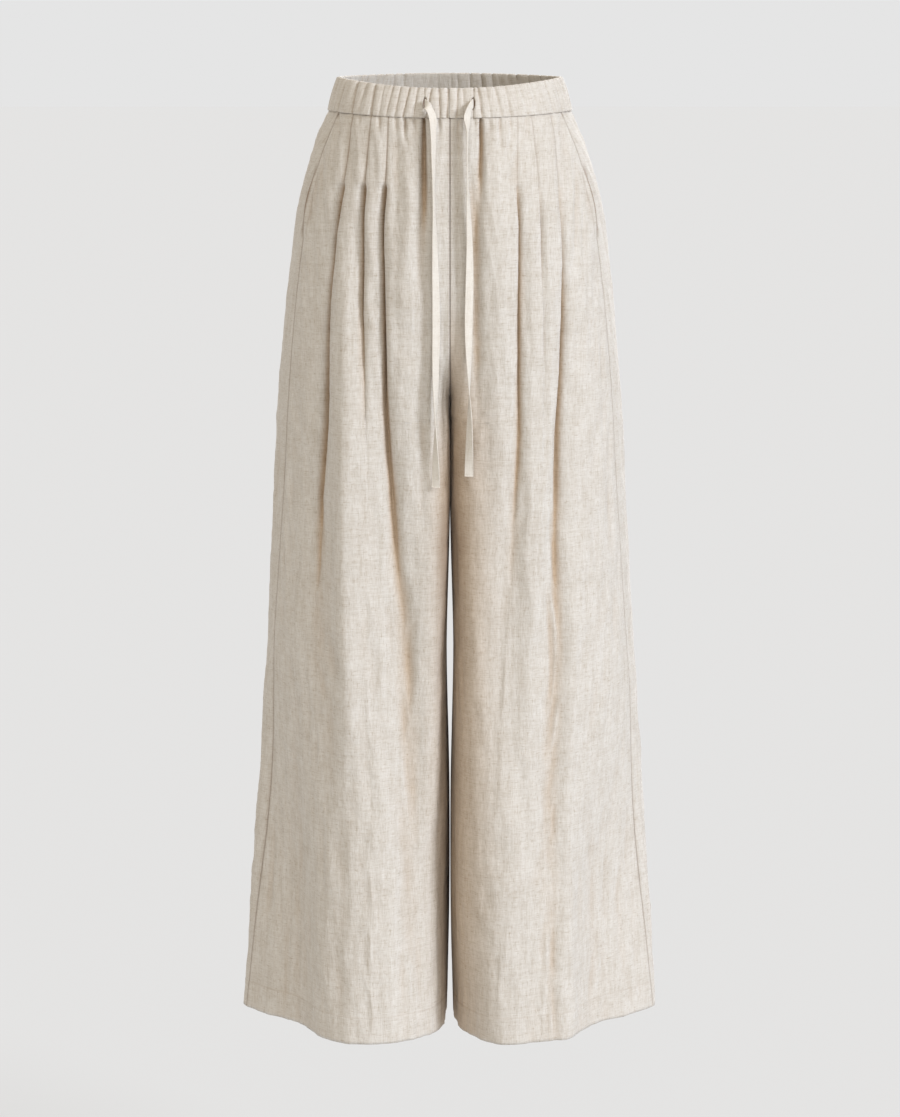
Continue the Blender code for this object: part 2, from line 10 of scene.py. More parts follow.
import bpy
import numpy as np
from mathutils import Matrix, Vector


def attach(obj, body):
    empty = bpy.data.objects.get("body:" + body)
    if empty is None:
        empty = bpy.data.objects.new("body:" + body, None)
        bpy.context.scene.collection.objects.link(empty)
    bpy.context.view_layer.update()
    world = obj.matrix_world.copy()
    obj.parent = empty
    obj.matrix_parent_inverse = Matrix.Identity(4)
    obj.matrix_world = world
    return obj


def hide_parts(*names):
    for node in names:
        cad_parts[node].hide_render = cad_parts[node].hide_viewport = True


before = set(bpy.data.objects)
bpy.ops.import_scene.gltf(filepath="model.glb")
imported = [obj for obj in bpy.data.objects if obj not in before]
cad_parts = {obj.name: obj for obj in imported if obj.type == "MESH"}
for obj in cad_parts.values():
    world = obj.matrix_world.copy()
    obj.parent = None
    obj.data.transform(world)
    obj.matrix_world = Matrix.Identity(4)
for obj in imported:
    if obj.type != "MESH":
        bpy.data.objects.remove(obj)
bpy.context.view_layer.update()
SIDES = {"right": -1.0, "left": 1.0}       # the wearer's sides, with the sign of X

# ---- sizes shared with the solids
BAND_TOP = 0.0175
BAND_FOOT = -0.0175
TUCK_RELEASE = -0.095
FRONT_FORK = -0.250
BACK_FORK = -0.200
CROTCH = -0.335
HEM = -1.017

SECTION_COLUMNS = ("height", "half_width", "front", "back", "crest", "front_round",
                   "back_round", "inner_round")
SECTIONS = (
    (0.0175, 0.1180, 0.088, 0.088, 0.04, 2.00, 2.00, 2.6),
    (-0.0175, 0.1285, 0.102, 0.098, 0.05, 2.00, 2.00, 2.6),
    (-0.0600, 0.1455, 0.110, 0.108, 0.08, 2.00, 2.00, 2.6),
    (-0.1120, 0.1600, 0.117, 0.118, 0.13, 2.00, 2.00, 2.6),
    (-0.1760, 0.1702, 0.122, 0.127, 0.20, 1.94, 2.00, 2.6),
    (-0.2520, 0.1790, 0.123, 0.130, 0.29, 1.86, 1.96, 2.6),
    (-0.3350, 0.1857, 0.122, 0.126, 0.38, 1.77, 1.90, 2.6),
    (-0.4380, 0.1920, 0.119, 0.118, 0.44, 1.67, 1.80, 2.4),
    (-0.6060, 0.2020, 0.117, 0.110, 0.46, 1.57, 1.70, 2.2),
    (-0.7780, 0.2155, 0.119, 0.109, 0.46, 1.52, 1.60, 2.1),
    (-0.8950, 0.2245, 0.122, 0.111, 0.46, 1.46, 1.55, 2.0),
    (-1.0170, 0.2335, 0.125, 0.113, 0.46, 1.40, 1.50, 2.0),
)
INSET_COLUMNS = ("height", "inset")    # how far the side seam is inside the widest point
SEAM_INSETS = (
    (-0.400, 0.0115),
    (-0.700, 0.0060),
    (-1.017, 0.0025),
)
PANEL_MIDDLE = 0.085       # where the threads of each panel run straight down

# How much squarer than the solids each leg's front is at its inseam,
SQUARE_LEVELS = (-0.250, -0.335, -0.450, -0.600, -0.800, -1.017)
INNER_SQUARES = {
    "right": (0.0, 5.5, 5.0, 2.8, 0.9, 0.8),
    "left": (0.0, 5.0, 6.0, 4.8, 2.6, 0.8),
}
# and how far the cloth beside the inseam falls back from the front, over a sloping strip.
BEVEL_DEPTHS = {
    "right": (0.0, 0.001, 0.003, 0.003, 0.003, 0.002),
    "left": (0.0, 0.007, 0.014, 0.018, 0.018, 0.010),
}
BEVEL_WIDTHS = {"right": 0.012, "left": 0.032}
BEVEL_POWER = 1.4

SPACING_COLUMNS = ("height", "spacing")    # half the space between the legs at the inseams
LEG_SPACING = (
    (-0.335, 0.0),
    (-0.430, 0.0),
    (-0.600, 0.0036),
    (-0.760, 0.0006),
    (-0.880, 0.0006),
    (-1.017, 0.0034),
)

# The waistband dips at the front and rises at the back, more at its top than at its seam.
DIP_COLUMNS = ("height", "front_dip", "back_rise")
DIPS = (
    (0.0175, 0.0105, 0.0030),
    (-0.0175, 0.0058, 0.0030),
    (-0.0950, 0.0, 0.0),
)

# Tucks, released into round folds with a narrow valley between each two: the valley's distance
# from the centre line and its depth at each level. They are sewn flat down to SEWN_END.
TUCK_LEVELS = (-0.0175, -0.095, -0.125, -0.200, -0.270, -0.335, -0.435, -0.500, -0.600, -0.750,
               -1.017)
TUCK_COLUMNS = ("side", "place", "across", "depth")
TUCKS = (
    ("right", "inner",
     (0.0632, 0.0671, 0.0684, 0.0675, 0.0658, 0.0640, 0.0580, 0.0535, 0.0475, 0.0410, 0.0400),
     (0.0014, 0.0072, 0.0092, 0.0100, 0.0110, 0.0110, 0.0110, 0.0110, 0.0115, 0.0095, 0.0020)),
    ("right", "middle",
     (0.0811, 0.0890, 0.0906, 0.0912, 0.0890, 0.0880, 0.0870, 0.0870, 0.0870, 0.0870, 0.0870),
     (0.0014, 0.0072, 0.0090, 0.0088, 0.0048, 0.0014, 0.0, 0.0, 0.0, 0.0, 0.0)),
    ("right", "outer",
     (0.1005, 0.1117, 0.1174, 0.1268, 0.1321, 0.1364, 0.1438, 0.1447, 0.1455, 0.1400, 0.1390),
     (0.0014, 0.0066, 0.0086, 0.0100, 0.0130, 0.0145, 0.0120, 0.0085, 0.0050, 0.0030, 0.0006)),
    ("left", "inner",
     (0.0696, 0.0696, 0.0701, 0.0705, 0.0700, 0.0705, 0.0665, 0.0625, 0.0560, 0.0520, 0.0520),
     (0.0008, 0.0024, 0.0042, 0.0056, 0.0066, 0.0064, 0.0052, 0.0040, 0.0024, 0.0006, 0.0)),
    ("left", "middle",
     (0.0838, 0.0916, 0.0930, 0.0955, 0.0970, 0.0980, 0.0980, 0.0980, 0.0980, 0.0980, 0.0980),
     (0.0008, 0.0014, 0.0026, 0.0026, 0.0018, 0.0010, 0.0, 0.0, 0.0, 0.0, 0.0)),
    ("left", "outer",
     (0.1056, 0.1131, 0.1150, 0.1187, 0.1188, 0.1170, 0.1152, 0.1148, 0.1145, 0.1130, 0.1120),
     (0.0004, 0.0008, 0.0022, 0.0060, 0.0084, 0.0096, 0.0106, 0.0112, 0.0114, 0.0110, 0.0080)),
)
SEWN_END = -0.087
SEWN_FADE = 0.010
SEWN_DEPTH = 0.25          # what is left of a valley's depth where it is sewn flat
# The shape of a valley at each level: how round its bottom is, how far it reaches towards the
# centre and towards the side, how far the fold inside it hangs over it, and the share of its
# depth that a narrow slot adds.
VALLEY_ROUND = {
    "right": (0.0002, 0.0002, 0.0003, 0.0006, 0.0012, 0.0022, 0.0036, 0.0060, 0.0090, 0.0120,
              0.0150),
    "left": (0.0002, 0.0002, 0.0004, 0.0009, 0.0018, 0.0036, 0.0064, 0.0090, 0.0130, 0.0190,
             0.0260),
}
VALLEY_INWARDS = (0.0015, 0.0018, 0.0026, 0.0030, 0.0034, 0.0042, 0.0076, 0.0110, 0.0140, 0.0180,
                  0.0220)
VALLEY_OUTWARDS = (0.0030, 0.0040, 0.0090, 0.0110, 0.0120, 0.0120, 0.0130, 0.0135, 0.0140, 0.0150,
                   0.0180)
OVERHANGS = (0.0004, 0.0008, 0.0028, 0.0030, 0.0026, 0.0016, 0.0006, 0.0002, 0.0, 0.0, 0.0)
OVERHANG_REACH = 0.0022
VALLEY_SLOTS = (0.05, 0.70, 0.80, 0.65, 0.60, 0.50, 0.25, 0.08, 0.0, 0.0, 0.0)
SLOT_REACH = 0.0032
SLOT_OFFSET = 0.0012
VALLEY_STRIP = 0.0035      # half the width that has narrow strips in the mesh

# Soft folds: where each starts and ends across and down, its half width and its height.
FOLD_COLUMNS = ("across", "across_end", "top", "end", "half_width", "rise")
FOLDS = {
    ("right", "front"): (
        (0.0250, 0.0250, -0.014, -0.150, 0.0040, -0.0022),
        (0.0420, 0.0440, -0.020, -0.300, 0.0130, 0.0025),
        (0.0550, 0.0540, -0.020, -0.150, 0.0060, -0.0018),
        (0.0310, 0.0290, -0.300, -0.460, 0.0060, -0.0022),
        (0.0190, 0.0170, -0.380, -1.300, 0.0100, 0.0045),
        (0.0800, 0.0740, -0.340, -1.200, 0.0240, 0.0030),
        (0.1050, 0.1110, -0.120, -0.800, 0.0150, 0.0110),
        (0.1540, 0.1560, -0.420, -1.100, 0.0150, 0.0018),
        (0.1920, 0.1800, -0.560, -1.400, 0.0360, -0.0230),
    ),
    ("left", "front"): (
        (0.0250, 0.0275, -0.014, -0.360, 0.0072, -0.0066),
        (0.0440, 0.0480, -0.020, -0.420, 0.0130, 0.0020),
        (0.0860, 0.0760, -0.300, -1.050, 0.0180, 0.0050),
        (0.0190, 0.0170, -0.380, -1.300, 0.0100, 0.0035),
        (0.1290, 0.1320, -0.360, -1.300, 0.0130, 0.0050),
        (0.0460, 0.0650, -0.460, -1.400, 0.0240, 0.0085),
        (0.1850, 0.1760, -0.620, -1.400, 0.0420, -0.0250),
    ),
    ("right", "back"): (
        (0.0220, 0.0240, -0.020, -0.230, 0.0110, -0.0035),
        (0.0540, 0.0600, -0.020, -0.290, 0.0120, -0.0040),
        (0.0900, 0.1010, -0.020, -0.250, 0.0120, -0.0035),
        (0.0560, 0.0640, -0.360, -1.300, 0.0260, -0.0075),
        (0.1080, 0.1120, -0.310, -1.300, 0.0240, 0.0055),
        (0.1500, 0.1560, -0.460, -1.300, 0.0260, -0.0080),
    ),
    ("left", "back"): (
        (0.0240, 0.0270, -0.020, -0.260, 0.0110, -0.0035),
        (0.0590, 0.0640, -0.020, -0.240, 0.0120, -0.0038),
        (0.0930, 0.1020, -0.020, -0.290, 0.0120, -0.0036),
        (0.0620, 0.0580, -0.330, -1.300, 0.0250, -0.0070),
        (0.1000, 0.1060, -0.380, -1.300, 0.0240, 0.0060),
        (0.1450, 0.1530, -0.420, -1.300, 0.0270, -0.0080),
    ),
}
FOLD_FADE = 0.35           # share of a fold's length over which each end dies away
SEAM_CALM = 0.014          # folds die away this close to the centre seam and the inseam
SIDE_CALM = 0.030          # and this close to the leg's widest point

# The pocket mouth in the side seam, and the facing behind it
MOUTH_TOP = -0.072
MOUTH_END = -0.150
MOUTH_GAPE = 0.0042        # how far the front stands away from the back
MOUTH_REACH = 0.012
MOUTH_DARK = 0.0040        # half the width of the shade painted in its opening, on the front and on the back
MOUTH_DARK_BEHIND = 0.0070
MOUTH_HEM = 0.0085         # from the mouth's edge to the crease of its turned hem
MOUTH_EDGE = 1.5           # how sharply that painted shade ends
# Painted shade along the crease of its turned hem, and that crease's half width
MOUTH_CREASE = 0.30
MOUTH_CREASE_WIDTH = 0.0010
FACING_TOP = -0.040
FACING_END = -0.172
FACING_INSET = 0.0036
FACING_FORWARD = 0.020     # how far the facing reaches from the seam, to the front and the back
FACING_BACKWARD = 0.022

# The drawstring's two ends: each tape's middle and its turn in degrees, from its slit downwards
TAPE_WIDTH = 0.0092
TAPE_HALF_WALL = 0.0006
TAPE_CLEARANCE = 0.0030
SLIT_HEIGHT = 0.0112
SLIT_WIDTH = 0.0042
SLIT_DEPTH = 0.0026
SLIT_LEVEL = -0.0085
SLIT_OFFSET = 0.0030       # from the tape's first middle out to the middle of its slit
SLIT_EDGE = 0.0003         # half the width over which its edge slopes in
TAPE_COLUMNS = ("height", "across", "turn")
TAPES = {
    "right": (
        (-0.0120, -0.0225, 66), (-0.0200, -0.0185, 36), (-0.0350, -0.0172, 50),
        (-0.0600, -0.0170, 64), (-0.0900, -0.0168, 76), (-0.1200, -0.0162, 74),
        (-0.1500, -0.0156, 58), (-0.1900, -0.0148, 42), (-0.2350, -0.0142, 30),
        (-0.2750, -0.0148, 40), (-0.3100, -0.0150, 64), (-0.3450, -0.0150, 100),
        (-0.3800, -0.0149, 138), (-0.4035, -0.0148, 165),
    ),
    "left": (
        (-0.0120, 0.0205, -110), (-0.0200, 0.0178, -135), (-0.0350, 0.0180, -104),
        (-0.0600, 0.0176, -95), (-0.0900, 0.0180, -96), (-0.1200, 0.0190, -116),
        (-0.1500, 0.0200, -130), (-0.1900, 0.0200, -152), (-0.2350, 0.0192, -150),
        (-0.2700, 0.0194, -124), (-0.2950, 0.0200, -100), (-0.3250, 0.0204, -66),
        (-0.3600, 0.0202, -36), (-0.3918, 0.0197, -4),
    ),
}
TAPE_ROOTS = (0.0012, -0.0026)         # places of its first points, inside and outside the band
TAPE_ROOT_TURN = 90.0
TAPE_LEANS = (1.0, 1.0, 0.55, 0.20)    # 1 where its width stands upright, as in the slit
TAPE_FALL = -0.450                     # below this it hangs straight down
TAPE_SECTION = (           # share of the half width, share of half the wall
    (-1.00, 0.0), (-0.96, 0.8), (-0.86, 0.75), (-0.78, 0.62), (-0.55, 0.95), (0.0, 1.0),
    (0.55, 0.95), (0.78, 0.62), (0.86, 0.75), (0.96, 0.8), (1.00, 0.0),
)

# ---- sizes of the finer forms
LINEN = 0.0007             # one layer of cloth
HEM_TURN = 0.030           # depth of the turned-up hem
HEM_WALL = 0.0016          # cloth and turn-up together
HEM_STEP = 0.0015          # height over which it thickens
HEM_RIDGE = 0.0003         # how far it stands out
HEM_LINE = 0.0008          # half the height of the shade painted along the hem's line of stitching
HEM_TONE = 0.13
SEAM_LINE = 0.0013         # half the width of the shade painted along a seam
SEAM_TONE = {"right": 0.55, "left": 0.40}
SEAM_GAP = 0.00001         # clearance between two panels
SEAM_DEPTH = 0.0005        # the groove along a seam
SEAM_REACH = 0.0009
SEAM_FIN = 0.0030          # seam allowance that stands inwards
LEVEL_SLACK = 1e-6         # within this, a level counts as the crotch
EDGE_COLUMNS = ("height", "tone")      # painted shade on the fronts' edges between the legs
EDGES = (
    (-0.400, 0.0),
    (-0.460, 0.70),
    (-0.560, 0.55),
    (-0.660, 0.22),
    (-0.780, 0.0),
    (-1.017, 0.0),
)
EDGE_REACH = {"right": 0.013, "left": 0.010}

# Gathers seen on the front of the waistband, from the wearer's right to the left: distance from
# the centre line, strength in the band, then length and depth of the crease that goes on below.
GATHER_COLUMNS = ("across", "strength", "run", "depth")
FRONT_GATHERS = (
    (-0.1124, 0.8, 0.022, 0.0008), (-0.0984, 1.2, 0.000, 0.0), (-0.0900, 0.25, 0.016, 0.0006),
    (-0.0790, 1.2, 0.000, 0.0), (-0.0700, 0.2, 0.024, 0.0010), (-0.0620, 0.5, 0.000, 0.0),
    (-0.0535, 0.55, 0.022, 0.0010), (-0.0448, 0.9, 0.034, 0.0018), (-0.0352, 0.7, 0.020, 0.0014),
    (-0.0262, 0.3, 0.150, 0.0040), (-0.0219, 0.9, 0.000, 0.0), (-0.0107, 0.9, 0.024, 0.0014),
    (-0.0025, 0.9, 0.030, 0.0010), (0.0075, 0.8, 0.080, 0.0020), (0.0140, 0.4, 0.020, 0.0010),
    (0.0240, 0.5, 0.020, 0.0008), (0.0310, 1.0, 0.130, 0.0032), (0.0393, 0.35, 0.022, 0.0010),
    (0.0495, 0.6, 0.045, 0.0012), (0.0596, 0.5, 0.022, 0.0008), (0.0680, 0.2, 0.000, 0.0),
    (0.0755, 0.35, 0.020, 0.0006), (0.0870, 0.2, 0.000, 0.0), (0.1025, 0.4, 0.020, 0.0006),
    (0.1124, 0.3, 0.016, 0.0006),
)
GATHER_PITCH = (0.0070, 0.0190)        # narrowest and widest pleat round the rest of the band
GATHER_STRENGTHS = (0.2, 1.0)
GATHER_SEED = 7            # for their places, and for how they slant
LEAN_SEED = 57
PLEAT_RISE = 0.0027
PLEAT_LEAN = 0.0050        # how far a pleat can slant from the band's foot to its top
PLEAT_SHARE = 0.20         # rise of a pleat as a share of its width
PLEAT_POWER = 0.7          # below 1 its crown is flatter
VALLEY_DEPTH = 0.0024      # the pinch between two pleats
VALLEY_REACH = 0.0010
BAND_PROUD = 0.0010        # how far the band stands off the plain form
BAND_WALL = 0.0032
BAND_BULGE = 0.0009        # how far its outside and its inside round out
INNER_BULGE = 0.00036
BAND_TUCK = 0.0004         # how far its foot turns in
BAND_TUCK_SHARE = 0.04     # over this share of its height
BAND_ROLL = 0.0014         # radius of its top edge
BAND_NICK = 0.0011         # how far a gather pulls its top edge down
NICK_START = 0.9           # from this share of its height up
BAND_FINE = 0.00025        # height of its fine relief
BAND_CELLS = (0.006, 0.4)  # cells of that relief along the band, and up as a share of its height
INNER_GATHERS = -0.5       # the gathers' share inside the band, where they stand the other way
BAND_LINE = 0.6            # painted shade along the seam at the band's foot
BAND_HOLLOW = 0.5          # painted shade in its gathers
GATHER_PULL = {"front": 3.1, "back": 1.9}          # times the depth of a crease below the band
GATHER_WIDTH = {"front": 0.0015, "back": 0.0032}   # and half its width at the band
GATHER_SPREAD = 0.024      # how fast a crease below the band grows wider
GATHER_START = 0.35        # share of its depth right under the band
GATHER_FADE = 0.004        # and how far down it is at its full depth
GATHER_EASE = 1.04         # the panels are this much wider than the band at its foot
BACK_GATHER_END = 0.20     # creases behind: to this far from the seam, then their least and most
BACK_GATHER_PITCH = (0.011, 0.024)
BACK_GATHER_RUN = (0.018, 0.070)
BACK_GATHER_DEPTH = (0.0006, 0.0018)

# Creases: each row is a layer of uneven relief, with the size of its cells and its height.
CREASE_COLUMNS = ("across", "down", "height", "ridged")
CREASES = (
    (0.0600, 0.300, 0.0016, False),
    (0.0230, 0.130, 0.0012, True),
    (0.0130, 0.070, 0.0013, True),
    (0.0075, 0.030, 0.0005, False),
    (0.0300, 0.011, 0.0003, True),
    (0.0055, 0.009, 0.0003, False),
    (0.0240, 0.240, 0.0021, False),
)
CREASE_SEEDS = {"left_front": 100, "right_front": 200, "left_back": 300, "right_back": 400,
                "waistband": 500}
SWAY = (0.050, 0.120, 0.006)           # cells across and down, and how far creases wander
PATCHES = (0.090, 0.160, 0.6)          # cells across and down, and how much creases vary
PATCH_SEED = 20
RIDGE_SHARPNESS = 2.5
LATTICE_CELLS = 256        # the noise repeats after this many cells
LATTICE_GAIN = 1.6         # brings it to between about -1 and 1

# Painted shade: cloth that lies below the mean height of what is round it is painted darker and
# warmer, as in hollows.
HOLLOW_STEP = 0.0015
HOLLOW_REACH = 0.011       # spread of that mean, taken over this many steps each way
HOLLOW_CELLS = 24
HOLLOW_DEPTH = 0.0045      # hollows this deep get the full painted shade
HOLLOW_POWER = 1.5
# Painted shade along the line where each tuck is sewn, above its release: half its width, and its
# strength on each side
TUCK_LINE_REACH = 0.0007
TUCK_LINE_TONE = {"right": 0.65, "left": 0.35}
INSEAM_REACH = {"right": 0.016, "left": 0.034}     # how far the painted shade along an inseam reaches
INSEAM_NARROW = 0.35       # share of that reach where it starts
INSEAM_STARTS = {          # levels, and how strong that painted shade is at each
    "right": ((-0.280, -0.330, -0.400), (0.0, 0.5, 1.0)),
    "left": ((-0.210, -0.270, -0.350), (0.0, 0.5, 1.0)),
}
CREASE_CALM = 0.008        # creases die away this close to a seam

# Mesh density
RING_SAMPLES = 120
UPPER_END = -0.120
UPPER_ROWS = 50
HIP_ROWS = 46
FORK_ROWS = 34
LEG_ROWS = 208
SEAM_STOPS = (0.0004, 0.0010, 0.0030)  # narrow strips beside a seam
FRONT_STRIPS = (1, 1, 1, 48, 10, 10, 10, 10, 10, 32, 1, 1, 1)
BACK_STRIPS = (1, 1, 1, 12, 44, 62, 1, 1, 1)
HEM_STOPS = (-0.0021, -0.0012, -0.0003, 0.0004, 0.0013, 0.0022)
BAND_COLUMNS = 700
SLIT_REACH = 0.004         # narrow columns on both sides of a slit's middle
SLIT_COLUMNS = 33
FOOT_SHARES = (0.0, 0.012, 0.03)       # its first rows, as shares of its straight height
BAND_ROWS = 18
INNER_BAND_ROWS = 12
ROLL_ROWS = 7
FACING_GRID = (60, 16)
TAPE_STRIPS = 220
TURNED = (0, 3, 2, 1)      # a face's corners the other way round


# ---- the plain form
def named(columns, rows):
    """A table's rows, each with its values by name."""
    return [dict(zip(columns, row)) for row in rows]


def hermite(value, places, levels):
    """A smooth curve through (places, levels), places rising, flat beyond the ends."""
    places = np.asarray(places, float)
    levels = np.asarray(levels, float)
    slopes = np.gradient(levels, places)
    value = np.clip(value, places[0], places[-1])
    start = np.clip(np.searchsorted(places, value) - 1, 0, len(places) - 2)
    span = places[start + 1] - places[start]
    t = (value - places[start]) / span
    ease = t * t * (3.0 - 2.0 * t)
    into = t * (1.0 - t) ** 2 * span * slopes[start]
    out = t * t * (t - 1.0) * span * slopes[start + 1]
    return levels[start] * (1.0 - ease) + levels[start + 1] * ease + into + out


def down_table(height, heights, levels):
    """Reads a table whose heights run downwards."""
    return hermite(-np.asarray(height, float), -np.asarray(heights, float), levels)


def at_height(height, columns, rows):
    """A table's values at one height, by name. Its first column is the height."""
    heights, *levels = zip(*rows)
    return {name: float(down_table(height, heights, values))
            for name, values in zip(columns[1:], levels)}


def section(height):
    return at_height(height, SECTION_COLUMNS, SECTIONS)


def smoothstep(value):
    value = np.clip(value, 0.0, 1.0)
    return value * value * (3.0 - 2.0 * value)


def fork_share(height, fork):
    """0 where the legs are one body, 1 from the crotch down."""
    return min(max((fork - height) / (fork - CROTCH), 0.0), 1.0)


def quarter(height, fork, depth, outer_round, inner_round):
    """Points from the centre seam or inseam to the widest point, depth counted as positive."""
    values = section(height)
    half_width = values["half_width"]
    crest = values["crest"] * half_width
    seam_depth = math.sqrt(1.0 - fork_share(height, fork) ** 2)
    widest_turn = math.acos(seam_depth ** (inner_round / 2.0))
    inner_power = 2.0 / inner_round
    turns = np.linspace(1.0, 0.0, RING_SAMPLES)[:-1]
    if widest_turn > 0.0:
        sines = np.sin(turns * widest_turn) ** inner_power
        across = crest * (1.0 - sines / sines[0])
        ahead = depth * np.cos(turns * widest_turn) ** inner_power
    else:
        across = crest * (1.0 - turns)
        ahead = np.full(len(turns), depth)
    outer = np.linspace(0.0, math.pi / 2, RING_SAMPLES)
    outer_power = 2.0 / outer_round
    across = np.append(across, crest + (half_width - crest) * np.sin(outer) ** outer_power)
    ahead = np.append(ahead, depth * np.maximum(np.cos(outer), 0.0) ** outer_power)
    spacing = SEAM_GAP / 2
    if height < CROTCH:
        spacing = max(at_height(height, SPACING_COLUMNS, LEG_SPACING)["spacing"], spacing)
    return np.column_stack((spacing + across * (1.0 - spacing / half_width), ahead))


def half_ring(height, side=None):
    """The whole half ring from the front seam round to the back seam, and its widest index."""
    values = section(height)
    inner = values["inner_round"]
    squarer = float(down_table(height, SQUARE_LEVELS, INNER_SQUARES[side])) if side else 0.0
    front = quarter(height, FRONT_FORK, values["front"], values["front_round"], inner + squarer)
    if side:
        depth = float(down_table(height, SQUARE_LEVELS, BEVEL_DEPTHS[side]))
        sloped = np.clip(1.0 - front[:, 0] / BEVEL_WIDTHS[side], 0.0, 1.0) ** BEVEL_POWER
        front[:, 1] *= 1.0 - sloped * depth / values["front"]
    back = quarter(height, BACK_FORK, values["back"], values["back_round"], inner)
    front[:, 1] *= -1.0
    ring = np.vstack((front, back[::-1][1:]))
    return ring, len(front) - 1


def ring_measure(height, side=None):
    """The ring, its running length, its outward normals and its widest index."""
    ring, widest = half_ring(height, side)
    steps = np.hypot(*np.diff(ring, axis=0).T)
    length = np.concatenate(([0.0], np.cumsum(steps)))
    tangent = np.gradient(ring, length, axis=0)
    tangent /= np.hypot(*tangent.T)[:, None]
    normal = np.column_stack((tangent[:, 1], -tangent[:, 0]))
    return ring, length, normal, widest


def at_length(place, length, values):
    return np.column_stack([np.interp(place, length, values[:, k]) for k in range(2)])


def front_place(across, measure):
    """The running length at which the front is this far from the centre line."""
    ring, length, _, widest = measure
    return float(np.interp(across, ring[:widest + 1, 0], length[:widest + 1]))


def side_seam_place(height, measure):
    ring, _, _, widest = measure
    inset = at_height(height, INSET_COLUMNS, SEAM_INSETS)["inset"]
    return front_place(ring[widest, 0] - inset, measure)


def middle_place(face, measure):
    """The running length at the middle of a front or back panel's face."""
    if face == "front":
        return front_place(PANEL_MIDDLE, measure)
    ring, length, _, widest = measure
    return float(np.interp(-PANEL_MIDDLE, -ring[widest:, 0], length[widest:]))


def at_tuck_level(height, values):
    """Reads a row of values at the tucks' levels."""
    return float(down_table(height, TUCK_LEVELS, values))


def tuck_valleys(side, height):
    """Each tuck's valley at this level: its distance from the centre line and its depth."""
    open_share = float(smoothstep((SEWN_END - height) / SEWN_FADE))
    kept = SEWN_DEPTH + (1.0 - SEWN_DEPTH) * open_share
    return [(at_tuck_level(height, tuck["across"]),
             max(at_tuck_level(height, tuck["depth"]), 0.0) * kept)
            for tuck in named(TUCK_COLUMNS, TUCKS) if tuck["side"] == side]


def tuck_relief(side, height, across):
    """Height of the folds between the tucks' valleys over the plain front."""
    relief = np.zeros_like(across)
    bottom = at_tuck_level(height, VALLEY_ROUND[side])
    inwards = at_tuck_level(height, VALLEY_INWARDS)
    outwards = at_tuck_level(height, VALLEY_OUTWARDS)
    slot = at_tuck_level(height, VALLEY_SLOTS)
    for place, depth in tuck_valleys(side, height):
        out = across - place
        away = np.sqrt(out * out + bottom * bottom) - bottom
        relief -= depth * np.exp(-away / np.where(out < 0.0, inwards, outwards))
        relief -= slot * depth * np.exp(-((out - SLOT_OFFSET) / SLOT_REACH) ** 2)
    return relief


def tuck_overhang(side, height, across):
    """How far the fold inside each valley leans out over it."""
    slide = np.zeros_like(across)
    reach = at_tuck_level(height, OVERHANGS)
    for place, _ in tuck_valleys(side, height):
        inside = np.maximum(place - across, 0.0) / OVERHANG_REACH
        slide += reach * inside * np.exp(1.0 - inside)
    return slide


def tuck_line(side, height, across):
    """Painted shade along the line where each tuck is sewn, above its release."""
    line = np.zeros_like(across)
    if height > TUCK_RELEASE:
        for place, _ in tuck_valleys(side, height):
            line = np.maximum(line, np.exp(-((across - place) / TUCK_LINE_REACH) ** 2))
    return TUCK_LINE_TONE[side] * line


def fold_relief(side, face, height, across):
    """Height of the soft folds over the plain cloth."""
    relief = np.zeros_like(across)
    for fold in named(FOLD_COLUMNS, FOLDS[side, face]):
        down = (fold["top"] - height) / (fold["top"] - fold["end"])
        fade = smoothstep(down / FOLD_FADE) * smoothstep((1.0 - down) / FOLD_FADE)
        centre = fold["across"] + (fold["across_end"] - fold["across"]) * min(max(down, 0.0), 1.0)
        off = (across - centre) / fold["half_width"]
        relief += fold["rise"] * fade * np.exp(-off * off)
    return relief


def mouth_swell(height):
    """1 half way down the pocket mouth, 0 at its ends."""
    middle = (MOUTH_TOP + MOUTH_END) / 2
    along = (height - middle) / ((MOUTH_TOP - MOUTH_END) / 2)
    return max(0.0, 1.0 - along * along)


def mouth_relief(height, from_seam):
    """The front stands away from the back along the pocket mouth."""
    return MOUTH_GAPE * mouth_swell(height) * (1.0 - smoothstep(from_seam / MOUTH_REACH))


def mouth_shade(height, from_seam):
    """How much shade is painted in the opening of the pocket mouth and along the crease of its
    turned hem, from 0 to 1.
    """
    reach = np.where(from_seam > 0.0, MOUTH_DARK_BEHIND, MOUTH_DARK)
    opening = np.clip(MOUTH_EDGE * (1.0 - np.abs(from_seam) / reach), 0.0, 1.0)
    crease = MOUTH_CREASE * np.exp(-((from_seam + MOUTH_HEM) / MOUTH_CREASE_WIDTH) ** 2)
    return np.sqrt(mouth_swell(height)) * np.maximum(opening, crease)


def waist_dip(height, depth_share):
    """Vertical shift near the waist: depth_share is -1 at the front, 0 at the side, 1 behind."""
    shift = at_height(height, DIP_COLUMNS, DIPS)
    ahead = np.maximum(-depth_share, 0.0) ** 2
    behind = np.maximum(depth_share, 0.0) ** 2
    return shift["back_rise"] * behind - shift["front_dip"] * ahead


def lifted(height, points):
    """World heights of a level's points, with the waist's dip."""
    values = section(height)
    depth = np.where(points[:, 1] < 0, values["front"], values["back"])
    return height + waist_dip(height, points[:, 1] / depth)


def round_normals(points):
    """Outward normals in the level plane for points that run once round the waist."""
    run = np.roll(points, -1, axis=0) - np.roll(points, 1, axis=0)
    run /= np.hypot(*run.T)[:, None]
    return np.column_stack((run[:, 1], -run[:, 0]))


